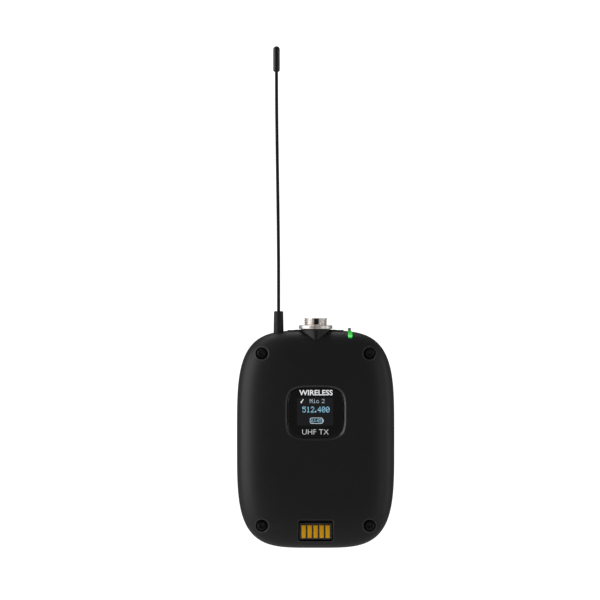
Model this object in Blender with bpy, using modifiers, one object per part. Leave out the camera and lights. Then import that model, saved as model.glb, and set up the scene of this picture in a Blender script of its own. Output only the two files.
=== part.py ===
"""Wireless bodypack transmitter: a pebble of two screwed shells around a board, a battery and a radio.

Frame: metres, +Z up, the display faces -Y, and +X is to the right of someone who reads the display.
The origin is on the belt land, the flat face on the back that a belt lies against, at the
housing's mid height. Every piece hangs from the empty "housing", whose own origin is the middle of
the seam plane between the two shells, so all places below are measured from there.
"""

import math

import bmesh
import bpy
from mathutils import Matrix

MM = 0.001

# Housing. Its outline is a superellipse, and each shell bulges from the seam plane.
BODY_WIDTH = 66.0 * MM
BODY_HEIGHT = 91.2 * MM
OUTLINE_POWER = 4.0
EDGE_POWER = 6.0
FRONT_DEPTH = 10.0 * MM
REAR_DEPTH = 9.5 * MM
REAR_FLAT = 8.6 * MM
WALL = 2.0 * MM
BACK_WALL = 1.7 * MM
SEAM_GAP = 0.2 * MM
SKIRT = 3.0 * MM
EDGE_LAND = 0.6 * MM
HALF_WIDTH = BODY_WIDTH / 2
HALF_HEIGHT = BODY_HEIGHT / 2

# Clearances: FIT between fixed neighbours, SLIDE around a piece that moves.
FIT = 0.2 * MM
SLIDE = 0.2 * MM

# Seam gasket, which lies in a rebate of the rear shell's rim.
GASKET_EDGE = 0.8 * MM
GASKET_WIDTH = 0.8 * MM
GASKET_THICKNESS = 0.6 * MM

# Case screws, from the front into brass inserts in the rear shell.
SCREW_X = HALF_WIDTH - 10.55 * MM
SCREW_Z = HALF_HEIGHT - 9.65 * MM
SCREW_HEAD_R = 1.9 * MM
SCREW_HEAD_HEIGHT = 1.6 * MM
SCREW_SHANK_R = 1.2 * MM
SCREW_SEAT = FRONT_DEPTH - 5.4 * MM
SCREW_REACH = 4.6 * MM
SOCKET_R = 0.95 * MM
SOCKET_DEPTH = 0.9 * MM
COUNTERBORE_R = 2.55 * MM
FRONT_BOSS_WALL = 1.35 * MM
INSERT_WALL = 0.55 * MM
INSERT_LENGTH = 4.5 * MM
REAR_BOSS_WALL = 1.3 * MM

# Display window and what is behind it.
WINDOW_Z = 11.2 * MM
WINDOW_HALF = (11.65 * MM, 10.35 * MM)
WINDOW_FACE = FRONT_DEPTH - 0.55 * MM
WINDOW_THICKNESS = 0.95 * MM
WINDOW_BEVEL = 1.0 * MM
WINDOW_SEAL = 0.5 * MM
LEDGE_THICKNESS = 1.0 * MM
LEDGE_RIM = 1.6 * MM
DISPLAY_SIZE = (16.4 * MM, 1.5 * MM, 13.6 * MM)
DISPLAY_Z = WINDOW_Z + 0.4 * MM
HOLDER_WALL = 1.4 * MM

# The deck across the top. What stands on it or hangs below it is placed from its height.
DECK_Z = HALF_HEIGHT + 0.4 * MM
DECK_HALF_WIDTH = 12.5 * MM
DECK_REAR = 4.8 * MM
DECK_FRONT = 2.2 * MM
DECK_DROP = 0.1 * MM
DECK_LEVEL_HALF = 7.5 * MM
DECK_FALL = 0.5 * MM

# Circuit board on the seam plane.
BOARD_HALF_WIDTH = HALF_WIDTH - 8.0 * MM
BOARD_TOP = DECK_Z - 15.0 * MM
BOARD_TAB_DROP = 10.0 * MM
BOARD_BOTTOM = -HALF_HEIGHT + BOARD_TAB_DROP + 4.6 * MM
BOARD_THICKNESS = 1.0 * MM
BOARD_TAB_HALF_WIDTH = 8.0 * MM
BOARD_FACE = BOARD_THICKNESS / 2 + FIT
BOARD_SCREW = (BOARD_HALF_WIDTH - 3.5 * MM, BOARD_BOTTOM + 17.0 * MM)
BOARD_SCREW_R = 0.8 * MM
BOARD_SCREW_HEAD_R = 1.6 * MM
POST_R = 2.4 * MM
SHIELD_SIZE = (22.0 * MM, 1.8 * MM, 16.0 * MM)
SHIELD_Z = BOARD_BOTTOM + 14.0 * MM
SHIELD_EDGE = 0.3 * MM

# Battery pack behind the board.
BATTERY_SIZE = (34.0 * MM, 4.8 * MM, 46.0 * MM)
BATTERY_Z = -7.0 * MM
BATTERY_EDGE = 0.8 * MM
PAD_THICKNESS = 0.8 * MM
PLUG_SIZE = (5.0 * MM, 2.4 * MM, 3.6 * MM)
PLUG_Z = BATTERY_Z + BATTERY_SIZE[2] / 2 + 9.0 * MM
LEAD_R = 0.7 * MM
LEAD_SWAY = 2.5 * MM
LEAD_STEPS = 12

# Charging contacts at the foot of the front, tilted with the shell.
CONTACT_Z = -HALF_HEIGHT + 7.3 * MM
CONTACT_DROP = 1.15 * MM
CONTACT_TILT = math.radians(12)
CONTACT_COUNT = 5
CONTACT_PITCH = 2.51 * MM
CONTACT_SIZE = (1.85 * MM, 5.8 * MM)
CONTACT_THICKNESS = 0.3 * MM
CONTACT_PROUD = 0.15 * MM
CARRIER_SIZE = (12.6 * MM, 7.0 * MM)
CARRIER_DEPTH = 3.2 * MM
CARRIER_RIM = 2.2 * MM
CARRIER_RIM_THICKNESS = 1.0 * MM
CONTACT_WINDOW = (14.7 * MM, 8.5 * MM)

# Microphone socket on top, a threaded barrel with four pins and a slotted ring nut.
SOCKET_BOSS_R = 6.6 * MM
SOCKET_BOSS_WALL = 0.9 * MM
SOCKET_SEAT = 1.6 * MM
BARREL_R = 4.78 * MM
BARREL_BORE_R = 4.0 * MM
BARREL_TOP = DECK_Z + 4.7 * MM
BARREL_BOTTOM = DECK_Z - 10.5 * MM
BARREL_FLANGE_R = SOCKET_BOSS_R - SOCKET_BOSS_WALL - FIT
BARREL_FLANGE_THICKNESS = 1.2 * MM
BARREL_SEAL = 0.7 * MM
NOTCH_X = 0.3 * MM
NOTCH_WIDTH = 1.9 * MM
NOTCH_DEPTH = 2.6 * MM
NUT_R = 7.05 * MM
NUT_HEIGHT = 1.5 * MM
NUT_SLOTS = 4
NUT_SLOT_WIDTH = 0.95 * MM
NUT_SLOT_DEPTH = 1.1 * MM
NUT_TURN = math.radians(-3)
INSERT_FACE = DECK_Z - 3.4 * MM
PIN_R = 0.5 * MM
PIN_CIRCLE_R = 2.3 * MM
PIN_TOP = DECK_Z + 2.6 * MM
PIN_BOTTOM = DECK_Z - 13.0 * MM
PIN_COUNT = 4

# The power button is to the right of the socket and the infrared port to the left.
DECK_BUTTON_X = 10.1 * MM
BUTTON_Y = 2.8 * MM
BUTTON_TRAVEL = 0.5 * MM
BUTTON_SUNK = 0.1 * MM
BUTTON_RIM = 0.7 * MM
BUTTON_RIM_THICKNESS = 0.8 * MM
STEM_R = 0.9 * MM
POWER_SIZE = (3.4 * MM, 2.6 * MM)
POWER_RIM_Z = DECK_Z - WALL - 3.0 * MM
POWER_STEM_END = BOARD_TOP + 3.5 * MM
INFRARED_DEPTH = 3.0 * MM

# Menu keys on the right flank.
KEY_SIZE = (2.8 * MM, 8.4 * MM)
KEY_FACE_X = HALF_WIDTH - 0.2 * MM
KEY_RIM_X = HALF_WIDTH - WALL - 2.0 * MM
KEY_STEM_END = BOARD_HALF_WIDTH + 3.4 * MM
KEY_HEIGHTS = (15.0 * MM, 3.0 * MM)

# Push switches on the board, one behind each button.
SWITCH_SIZE = (4.5 * MM, 4.0 * MM, 3.3 * MM)
PLUNGER_R = 0.8 * MM

# Whip antenna. It leaves its boot upright and leans a little further up.
ANTENNA_X = -15.52 * MM
BOOT_TOP = DECK_Z + 7.65 * MM
BOOT_BOTTOM = DECK_Z - 5.4 * MM
BOOT_TOP_R = 1.85 * MM
BOOT_FOOT_R = 2.05 * MM
BOOT_FLANGE_R = 3.0 * MM
BOOT_FLANGE_TOP = BOOT_BOTTOM + 1.6 * MM
WHIP_R = 0.56 * MM
WHIP_BOTTOM = BOARD_TOP + 5.0 * MM
WHIP_LEAN = -0.88 * MM
WHIP_LEAN_FROM = DECK_Z + 20.0 * MM
WHIP_STEPS = 28
TIP_LENGTH = 10.7 * MM
TIP_BOTTOM = DECK_Z + 108.0 * MM
TIP_TOP = TIP_BOTTOM + TIP_LENGTH
TIP_R = 1.4 * MM
TIP_BORE_DEPTH = TIP_LENGTH - 3.7 * MM
SPRING_STRIP = 0.3 * MM
SPRING_FOOT = 5.0 * MM
SPRING_WIDTH = 2.4 * MM

# Status light: a side-firing LED and the light pipe over it, set in the front shell's top edge.
LIGHT_X = 14.45 * MM
LIGHT_WIDTH = 2.1 * MM
LIGHT_REACH = 5.4 * MM
LIGHT_FOOT = 0.3 * MM
LIGHT_CREST = 1.5 * MM
LIGHT_BACK = 0.3 * MM
LIGHT_STEM = (2.4 * MM, 0.8 * MM)
LIGHT_STEP_DROP = 1.4 * MM
LIGHT_BOTTOM = BOARD_TOP - 0.4 * MM
LED_SIZE = (1.6 * MM, 1.0 * MM, 1.4 * MM)

# Belt clip: a sprung plate on a pin, held by a bracket on the flat back.
BELT_LAND_HEIGHT = 0.3 * MM
BELT_LAND_HALF_WIDTH = 11.0 * MM
BELT_LAND_TOP = 15.0 * MM
BELT_LAND_BOTTOM = -21.0 * MM
HINGE_Y = REAR_FLAT + 3.5 * MM
HINGE_Z = 24.0 * MM
PIN_SHAFT_R = 1.0 * MM
PIN_HEAD_R = 1.5 * MM
PIN_HEAD_THICKNESS = 0.5 * MM
PIN_HOLE_R = PIN_SHAFT_R + SLIDE
BRACKET_HALF_WIDTH = 15.0 * MM
BRACKET_HALF_HEIGHT = 4.8 * MM
BRACKET_THICKNESS = 1.0 * MM
BRACKET_SCREW_X = 12.2 * MM
BRACKET_SCREW_HEAD_R = 1.7 * MM
BRACKET_SCREW_R = 0.8 * MM
BRACKET_SCREW_LENGTH = 4.8 * MM
BRACKET_BOSS_DROP = 3.0 * MM
EAR_R = 1.8 * MM
EAR_INNER = 6.3 * MM
EAR_THICKNESS = 1.5 * MM
CLIP_HALF_WIDTH = 9.0 * MM
CLIP_THICKNESS = 1.2 * MM
CLIP_INNER = HINGE_Y + 2.1 * MM
CLIP_TOP = HINGE_Z + 12.0 * MM
CLIP_FLARE = 1.0 * MM
CLIP_FLARE_FROM = HINGE_Z + 6.0 * MM
CLIP_BEND_FROM = -7.0 * MM
CLIP_LIP_Z = -18.5 * MM
CLIP_TAIL_Z = -24.0 * MM
CLIP_LIP_GAP = 0.4 * MM
CLIP_TAIL_RISE = 2.6 * MM
CHEEK_THICKNESS = 0.9 * MM
CHEEK_R = 1.9 * MM
CHEEK_SPREAD = 4.2 * MM
COIL_R = 1.55 * MM
COIL_WIRE_R = 0.3 * MM
COIL_TURNS = 5
COIL_HALF_LENGTH = 4.0 * MM
COIL_LEG = 7.0 * MM

# Facets of round shapes.
OUTLINE_STEPS = 64
DEPTH_STEPS = 7
LARGE_ROUND = 32
ROUND = 16
SMALL_ROUND = 12

# Colour, roughness and metallic value of each finish.
FINISHES = {
    "shell_plastic": ((0.028, 0.028, 0.029), 0.5, 0.0),
    "black_plastic": ((0.02, 0.02, 0.02), 0.45, 0.0),
    "black_glass": ((0.006, 0.006, 0.007), 0.08, 0.0),
    "rubber": ((0.025, 0.025, 0.026), 0.6, 0.0),
    "black_steel": ((0.03, 0.03, 0.032), 0.4, 0.8),
    "nickel": ((0.75, 0.72, 0.69), 0.22, 1.0),
    "steel": ((0.55, 0.55, 0.56), 0.3, 1.0),
    "brass": ((0.7, 0.5, 0.2), 0.3, 1.0),
    "gold": ((0.75, 0.5, 0.12), 0.28, 1.0),
    "board_green": ((0.02, 0.12, 0.05), 0.5, 0.0),
    "foil": ((0.6, 0.6, 0.62), 0.35, 0.6),
    "foam": ((0.1, 0.1, 0.1), 0.9, 0.0),
    "lead_red": ((0.5, 0.03, 0.03), 0.5, 0.0),
    "light_green": ((0.1, 0.85, 0.2), 0.3, 0.0),
    "infrared_lens": ((0.05, 0.005, 0.01), 0.1, 0.0),
}


# ---------------------------------------------------------------- scene, materials and helpers


def clear_scene():
    for obj in list(bpy.data.objects):
        bpy.data.objects.remove(obj, do_unlink=True)


def new_collection(name):
    collection = bpy.data.collections.new(name)
    bpy.context.scene.collection.children.link(collection)
    return collection


def finish(name):
    """The Principled material of a finish, made once."""
    material = bpy.data.materials.get(name)
    if material:
        return material
    colour, roughness, metallic = FINISHES[name]
    material = bpy.data.materials.new(name)
    material.use_nodes = True
    shader = material.node_tree.nodes["Principled BSDF"]
    shader.inputs["Base Color"].default_value = (*colour, 1)
    shader.inputs["Roughness"].default_value = roughness
    shader.inputs["Metallic"].default_value = metallic
    return material


def place(name, data, material, location=(0, 0, 0), rotation=(0, 0, 0), parent=None):
    """An object for one piece, or for a cutter where material is None."""
    obj = bpy.data.objects.new(name, data)
    obj.location = location
    obj.rotation_euler = rotation
    obj.parent = parent or housing
    if material is None:
        cutters.objects.link(obj)
        obj.hide_render = True
        obj.display_type = "WIRE"
    else:
        pieces.objects.link(obj)
        data.materials.append(finish(material))
    return obj


def mesh_of(name, shape):
    """Closes a bmesh into a mesh whose faces point out."""
    shape.normal_update()
    bmesh.ops.recalc_face_normals(shape, faces=shape.faces)
    mesh = bpy.data.meshes.new(name)
    shape.to_mesh(mesh)
    shape.free()
    mesh.set_sharp_from_angle(angle=math.radians(30))
    return mesh


def box(name, size, centre, material=None, bevel=0, parent=None):
    shape = bmesh.new()
    bmesh.ops.create_cube(shape, size=1)
    bmesh.ops.scale(shape, vec=size, verts=shape.verts)
    obj = place(name, mesh_of(name, shape), material, centre, parent=parent)
    if bevel:
        rounding = obj.modifiers.new("edges", "BEVEL")
        rounding.width = bevel
        rounding.segments = 2
    return obj


AXIS_TURN = {"X": (0, math.pi / 2, 0), "Y": (-math.pi / 2, 0, 0), "Z": (0, 0, 0)}


def cylinder(name, radius, start, end, axis, across, material=None, steps=ROUND):
    """A round bar along an axis, from start to end, at the two other coordinates in across.

    Its facets, not its corners, meet the planes through its axis, so the seam cuts it cleanly.
    """
    shape = bmesh.new()
    bmesh.ops.create_cone(
        shape,
        cap_ends=True,
        segments=steps,
        radius1=radius,
        radius2=radius,
        depth=end - start,
        matrix=Matrix.Rotation(math.pi / steps, 4, "Z"),
    )
    middle = list(across)
    middle.insert("XYZ".index(axis), (start + end) / 2)
    return place(name, mesh_of(name, shape), material, middle, AXIS_TURN[axis])


def turned(name, profile, location, material, steps=ROUND):
    """A piece turned about Z: profile is (radius, height) points down its outer side."""
    mesh = bpy.data.meshes.new(name)
    edges = [(i, i + 1) for i in range(len(profile) - 1)]
    mesh.from_pydata([(radius, 0, height) for radius, height in profile], edges, [])
    obj = place(name, mesh, material, location)
    turn = obj.modifiers.new("turn", "SCREW")
    turn.steps = turn.render_steps = steps
    turn.use_merge_vertices = True
    turn.merge_threshold = 0.01 * MM
    return obj


# A flat outline lies in the plane that its turn gives, and is as thick as told across that plane.
OUTLINE_TURN = {"XZ": (math.pi / 2, 0, 0), "YZ": (math.pi / 2, 0, math.pi / 2), "XY": (0, 0, 0)}


def outline(name, points, plane, thickness, centre, material=None, parent=None):
    shape = bmesh.new()
    face = shape.faces.new([shape.verts.new((*point, -thickness / 2)) for point in points])
    raised = bmesh.ops.extrude_face_region(shape, geom=[face], use_keep_orig=True)["geom"]
    top = [v for v in raised if isinstance(v, bmesh.types.BMVert)]
    bmesh.ops.translate(shape, vec=(0, 0, thickness), verts=top)
    return place(name, mesh_of(name, shape), material, centre, OUTLINE_TURN[plane], parent)


def boolean(target, other, operation):
    modifier = target.modifiers.new(other.name, "BOOLEAN")
    modifier.operation = operation
    modifier.object = other


def cut(target, *others):
    for other in others:
        boolean(target, other, "DIFFERENCE")


def join(target, *others):
    for other in others:
        boolean(target, other, "UNION")


def arc(centre, radius, start, end, steps):
    """Points on an arc in a flat outline, angles in degrees."""
    angles = [math.radians(start + (end - start) * i / steps) for i in range(steps + 1)]
    return [(centre[0] + radius * math.cos(a), centre[1] + radius * math.sin(a)) for a in angles]


def pill(width, height, steps=6):
    """The outline of a rectangle whose shorter sides are half circles."""
    radius = min(width, height) / 2
    straight = max(width, height) / 2 - radius
    if width > height:
        return arc((straight, 0), radius, -90, 90, steps) + arc((-straight, 0), radius, 90, 270, steps)
    return arc((0, straight), radius, 0, 180, steps) + arc((0, -straight), radius, 180, 360, steps)


def smooth_share(value, start, end):
    """0 before start, 1 after end, and an even ease between them."""
    share = min(1, max(0, (value - start) / (end - start)))
    return share * share * (3 - 2 * share)


# ---------------------------------------------------------------- the housing's form


def outline_point(angle, half_width, half_height):
    """The point of a superellipse that lies in that direction."""
    x, z = math.cos(angle), math.sin(angle)
    size = abs(x / half_width) ** OUTLINE_POWER + abs(z / half_height) ** OUTLINE_POWER
    reach = size ** (-1 / OUTLINE_POWER)
    return reach * x, reach * z


def bulge(name, half_width, half_height, depth, side, material=None):
    """Half a pillow on the seam plane, with a flat crown and a straight skirt past the seam.

    side is -1 for the front.
    """
    shape = bmesh.new()
    bmesh.ops.create_uvsphere(
        shape, u_segments=OUTLINE_STEPS, v_segments=2 * DEPTH_STEPS, radius=1
    )
    ring = math.sin(math.pi / (2 * DEPTH_STEPS))
    crown = math.cos(math.pi / (2 * DEPTH_STEPS))
    beyond = [v for v in shape.verts if not -1.5 * ring < v.co.z < (1 + crown) / 2]
    bmesh.ops.delete(shape, geom=beyond, context="VERTS")
    bmesh.ops.holes_fill(shape, edges=[e for e in shape.edges if e.is_boundary])
    for vert in shape.verts:
        level = vert.co.z / crown
        spread = math.hypot(vert.co.x, vert.co.y)
        skirt = level < -ring / 2
        share = 1 if skirt else spread ** (2 / EDGE_POWER)
        x, z = outline_point(math.atan2(vert.co.y, vert.co.x), half_width, half_height)
        out = -SKIRT if skirt else max(level * depth, EDGE_LAND)
        vert.co = (share * x, side * out, share * z)
    return place(name, mesh_of(name, shape), material)


def outline_prism(name, levels, material=None, height=0):
    """A solid whose section is a superellipse: levels are (y, half sizes) from front to back.

    Its corners fall between those of the housing's bulges, so the two never meet edge to edge.
    """
    shape = bmesh.new()
    rings = []
    for y, half in levels:
        angles = [2 * math.pi * (i + 0.5) / OUTLINE_STEPS for i in range(OUTLINE_STEPS)]
        corners = [outline_point(angle, *half) for angle in angles]
        rings.append([shape.verts.new((x, y, z)) for x, z in corners])
    shape.faces.new(rings[0])
    shape.faces.new(rings[-1][::-1])
    for near, far in zip(rings, rings[1:]):
        for i in range(OUTLINE_STEPS):
            j = (i + 1) % OUTLINE_STEPS
            shape.faces.new((near[j], near[i], far[i], far[j]))
    return place(name, mesh_of(name, shape), material, (0, 0, height))


def grown(half, distance):
    return half[0] + distance, half[1] + distance


def inset(distance):
    """Half sizes of the housing's outline, moved inwards."""
    return HALF_WIDTH - distance, HALF_HEIGHT - distance


def front_height(x, y):
    """Height of the front shell's skin at that x and y."""
    share = (1 - (y / FRONT_DEPTH) ** 2) ** (1 / EDGE_POWER)
    rest = share**OUTLINE_POWER - abs(x / HALF_WIDTH) ** OUTLINE_POWER
    return HALF_HEIGHT * rest ** (1 / OUTLINE_POWER)


def front_depth_at(x, z):
    """Depth of the front shell's skin ahead of the seam plane at that x and z."""
    share = (x / HALF_WIDTH) ** OUTLINE_POWER + (z / HALF_HEIGHT) ** OUTLINE_POWER
    return FRONT_DEPTH * math.sqrt(1 - share ** (EDGE_POWER / OUTLINE_POWER))


CORNERS = [(sx * SCREW_X, sz * SCREW_Z) for sz in (1, -1) for sx in (-1, 1)]
BOARD_POSTS = [(side * BOARD_SCREW[0], BOARD_SCREW[1]) for side in (-1, 1)]
POCKET_FLOOR = WINDOW_FACE - WINDOW_THICKNESS - WINDOW_SEAL - 2 * FIT
BOOT_HOLE_R = BOOT_FOOT_R + FIT
CAVITY_TOP = DECK_Z - SOCKET_SEAT


def front_cavity():
    """The hollow of the front shell: the pillow inside the wall, less what stands in it."""
    cavity = bulge("front_cavity", *inset(WALL), FRONT_DEPTH - WALL, -1)
    ledge_half = grown(WINDOW_HALF, LEDGE_RIM)
    ledge_levels = [(-2 * FRONT_DEPTH, ledge_half), (-POCKET_FLOOR + LEDGE_THICKNESS, ledge_half)]
    ledge = outline_prism("front_ledge", ledge_levels, height=WINDOW_Z)
    cut(cavity, ledge)
    for i, corner in enumerate(CORNERS):
        boss = cylinder(
            f"front_boss_{i + 1}",
            COUNTERBORE_R + FRONT_BOSS_WALL,
            -FRONT_DEPTH - SKIRT,
            2 * SKIRT,
            "Y",
            corner,
        )
        cut(cavity, boss)
    for i, post in enumerate(BOARD_POSTS):
        cut(cavity, cylinder(f"board_post_{i + 1}", POST_R, -FRONT_DEPTH, -BOARD_FACE, "Y", post))
    return cavity


def rear_cavity():
    """The hollow of the rear shell, with the pockets behind the buttons."""
    cavity = bulge("rear_cavity", *inset(WALL), REAR_FLAT - BACK_WALL, 1)
    for i, corner in enumerate(CORNERS):
        radius = SCREW_SHANK_R + 2 * FIT + INSERT_WALL + REAR_BOSS_WALL
        cut(cavity, cylinder(f"rear_boss_{i + 1}", radius, -2 * SKIRT, REAR_DEPTH, "Y", corner))
    for side in (-1, 1):
        boss = cylinder(
            f"bracket_boss_{'left' if side < 0 else 'right'}",
            BRACKET_SCREW_HEAD_R + REAR_BOSS_WALL / 2,
            REAR_FLAT - BACK_WALL - BRACKET_BOSS_DROP,
            REAR_DEPTH,
            "Y",
            (side * BRACKET_SCREW_X, HINGE_Z),
        )
        cut(cavity, boss)
    return cavity


def socket_room(side):
    """Cutters for the microphone socket: its bore through the deck and the room for its flange."""
    name = "front" if side < 0 else "rear"
    bore = cylinder(
        f"{name}_barrel_hole",
        BARREL_R + FIT,
        CAVITY_TOP - SKIRT,
        DECK_Z + SKIRT,
        "Z",
        (0, 0),
        steps=LARGE_ROUND,
    )
    room = cylinder(
        f"{name}_socket_room",
        SOCKET_BOSS_R - SOCKET_BOSS_WALL,
        BOARD_TOP - SKIRT,
        CAVITY_TOP,
        "Z",
        (0, 0),
        steps=LARGE_ROUND,
    )
    return bore, room


def boot_hole(side):
    name = "front" if side < 0 else "rear"
    hole = cylinder(
        f"{name}_boot_hole",
        BOOT_HOLE_R,
        BOOT_FLANGE_TOP,
        DECK_Z + SKIRT,
        "Z",
        (ANTENNA_X, 0),
        steps=LARGE_ROUND,
    )
    room = cylinder(
        f"{name}_boot_room",
        BOOT_FLANGE_R + FIT,
        BOOT_BOTTOM - SKIRT,
        BOOT_FLANGE_TOP + FIT,
        "Z",
        (ANTENNA_X, 0),
        steps=LARGE_ROUND,
    )
    return hole, room


def seam_cutter(name, side):
    """Everything on the other side of the seam plane."""
    size = (2 * BODY_WIDTH, 2 * BODY_HEIGHT, 2 * BODY_HEIGHT)
    start = 0 if side < 0 else SEAM_GAP
    return box(name, size, (0, start - side * BODY_HEIGHT, 0))


def front_shell():
    shell = bulge("front_shell", HALF_WIDTH, HALF_HEIGHT, FRONT_DEPTH, -1, "shell_plastic")
    boss = cylinder(
        "front_socket_boss",
        SOCKET_BOSS_R,
        BOARD_TOP + SKIRT,
        DECK_Z,
        "Z",
        (0, 0),
        steps=LARGE_ROUND,
    )
    join(shell, boss, control_deck("front_deck", DECK_FRONT))
    cut(shell, front_cavity(), *socket_room(-1), *boot_hole(-1))
    for i, corner in enumerate(CORNERS):
        counterbore = cylinder(
            f"counterbore_{i + 1}", COUNTERBORE_R, -FRONT_DEPTH - SKIRT, -SCREW_SEAT, "Y", corner
        )
        through = cylinder(
            f"screw_way_{i + 1}", SCREW_SHANK_R + FIT, -FRONT_DEPTH, SKIRT, "Y", corner
        )
        cut(shell, counterbore, through)
    for i, post in enumerate(BOARD_POSTS):
        hole = cylinder(
            f"post_hole_{i + 1}", BOARD_SCREW_R + FIT, -FRONT_DEPTH + WALL, SKIRT, "Y", post
        )
        cut(shell, hole)
    cut_window(shell)
    cut(shell, contact_opening(), light_slot(), seam_cutter("front_seam", -1))
    return shell


def deck_top(x):
    """Height of the deck at that x: level under the socket and falling towards both ends."""
    past = max(0, abs(x) - DECK_LEVEL_HALF) / (DECK_HALF_WIDTH - DECK_LEVEL_HALF)
    return DECK_Z - DECK_DROP - DECK_FALL * past


def control_deck(name, reach):
    """The raised strip across the top, a little lower than the socket's boss."""
    foot = DECK_Z - WALL - SKIRT
    corners = [-DECK_HALF_WIDTH, -DECK_LEVEL_HALF, DECK_LEVEL_HALF, DECK_HALF_WIDTH]
    points = [(x, deck_top(x)) for x in corners]
    points += [(DECK_HALF_WIDTH, foot), (-DECK_HALF_WIDTH, foot)]
    return outline(name, points, "XZ", 2 * reach, (0, 0, 0))


def cut_window(shell):
    """The bevelled pocket for the glass, and the way through its ledge for the display."""
    pocket_half = grown(WINDOW_HALF, FIT)
    levels = [
        (-FRONT_DEPTH - FIT, grown(pocket_half, WINDOW_BEVEL)),
        (-WINDOW_FACE, pocket_half),
        (-POCKET_FLOOR, pocket_half),
    ]
    pocket = outline_prism("window_pocket", levels, height=WINDOW_Z)
    way = box(
        "display_way",
        (DISPLAY_SIZE[0] + 3 * FIT, FRONT_DEPTH, DISPLAY_SIZE[2] + 3 * FIT),
        (0, -POCKET_FLOOR, DISPLAY_Z),
    )
    cut(shell, pocket, way)


def contact_opening():
    """The rectangular window that the charging contacts look through."""
    size = (CONTACT_WINDOW[0], 2 * FRONT_DEPTH, CONTACT_WINDOW[1])
    return box("contact_opening", size, (0, -FRONT_DEPTH - SKIRT, CONTACT_Z))


def light_step():
    """Height at which the light pipe's head narrows to its stem, just below its foot."""
    return front_height(LIGHT_X, -LIGHT_REACH) - LIGHT_STEP_DROP


def light_slot():
    """The slot in the top edge that the light pipe fills."""
    foot = -LIGHT_REACH - 2 * FIT
    step = light_step()
    points = [
        (foot, DECK_Z + SKIRT),
        (foot, front_height(LIGHT_X, -LIGHT_REACH) - 2 * FIT),
        (foot + WALL, step - FIT),
        (-LIGHT_STEM[0] - FIT, step - FIT),
        (-LIGHT_STEM[0] - FIT, BOARD_TOP),
        (SKIRT, BOARD_TOP),
        (SKIRT, DECK_Z + SKIRT),
    ]
    return outline("light_slot", points, "YZ", LIGHT_WIDTH + 2 * FIT, (LIGHT_X, 0, 0))


def rear_shell():
    shell = bulge("rear_shell", HALF_WIDTH, HALF_HEIGHT, REAR_DEPTH, 1, "shell_plastic")
    back = box(
        "flat_back",
        (2 * BODY_WIDTH, 2 * REAR_DEPTH, 2 * BODY_HEIGHT),
        (0, REAR_FLAT + REAR_DEPTH, 0),
    )
    cut(shell, back)
    land_height = BELT_LAND_TOP - BELT_LAND_BOTTOM
    land = box(
        "belt_land",
        (2 * BELT_LAND_HALF_WIDTH, 2 * BELT_LAND_HEIGHT, land_height),
        (0, REAR_FLAT, (BELT_LAND_TOP + BELT_LAND_BOTTOM) / 2),
    )
    boss = cylinder(
        "rear_socket_boss",
        SOCKET_BOSS_R,
        BOARD_TOP + SKIRT,
        DECK_Z,
        "Z",
        (0, 0),
        steps=LARGE_ROUND,
    )
    join(shell, land, boss, control_deck("rear_deck", DECK_REAR))
    cut(shell, rear_cavity(), *socket_room(1), *boot_hole(1))
    cut_button_ways(shell)
    for i, corner in enumerate(CORNERS):
        radius = SCREW_SHANK_R + 2 * FIT + INSERT_WALL
        depth = SEAM_GAP + 3 * FIT + INSERT_LENGTH
        cut(shell, cylinder(f"insert_hole_{i + 1}", radius, -SKIRT, depth, "Y", corner))
    for side in (-1, 1):
        hole = cylinder(
            f"bracket_hole_{'left' if side < 0 else 'right'}",
            BRACKET_SCREW_R + FIT,
            0,
            REAR_DEPTH + SKIRT,
            "Y",
            (side * BRACKET_SCREW_X, HINGE_Z),
            steps=SMALL_ROUND,
        )
        cut(shell, hole)
    floor = SEAM_GAP + GASKET_THICKNESS + FIT
    rebate_half = inset(GASKET_EDGE)
    rebate = outline_prism("gasket_rebate", [(-2 * SKIRT, rebate_half), (floor, rebate_half)])
    cut(shell, rebate, seam_cutter("rear_seam", 1))
    return shell


def cut_button_ways(shell):
    """Openings for the power button, the infrared window and the keys, and pockets behind them."""
    for name, x in (("power", DECK_BUTTON_X), ("infrared", -DECK_BUTTON_X)):
        width, depth = (size + 2 * SLIDE for size in POWER_SIZE)
        hole = outline(
            f"{name}_way", pill(width, depth), "XY", 2 * (DECK_Z - POWER_RIM_Z), (x, BUTTON_Y, DECK_Z)
        )
        pocket_top = POWER_RIM_Z + BUTTON_RIM_THICKNESS + FIT
        reach = POWER_SIZE[0] + 2 * BUTTON_RIM + 2 * SLIDE
        depth = POWER_SIZE[1] + 2 * BUTTON_RIM + 2 * SLIDE
        pocket = box(
            f"{name}_pocket",
            (reach, depth, pocket_top - BOARD_TOP),
            (x, BUTTON_Y, (pocket_top + BOARD_TOP) / 2),
        )
        cut(shell, hole, pocket)
    for i, height in enumerate(KEY_HEIGHTS):
        depth, length = (size + 2 * SLIDE for size in KEY_SIZE)
        hole = outline(
            f"key_way_{i + 1}",
            pill(depth, length),
            "YZ",
            2 * (KEY_FACE_X - KEY_RIM_X),
            (KEY_FACE_X, BUTTON_Y, height),
        )
        pocket_end = KEY_RIM_X + BUTTON_RIM_THICKNESS + FIT
        depth = KEY_SIZE[0] + 2 * BUTTON_RIM + 2 * SLIDE
        length = KEY_SIZE[1] + 2 * BUTTON_RIM + 2 * SLIDE
        pocket = box(
            f"key_pocket_{i + 1}",
            (pocket_end - BOARD_HALF_WIDTH, depth, length),
            ((pocket_end + BOARD_HALF_WIDTH) / 2, BUTTON_Y, height),
        )
        cut(shell, hole, pocket)


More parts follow.
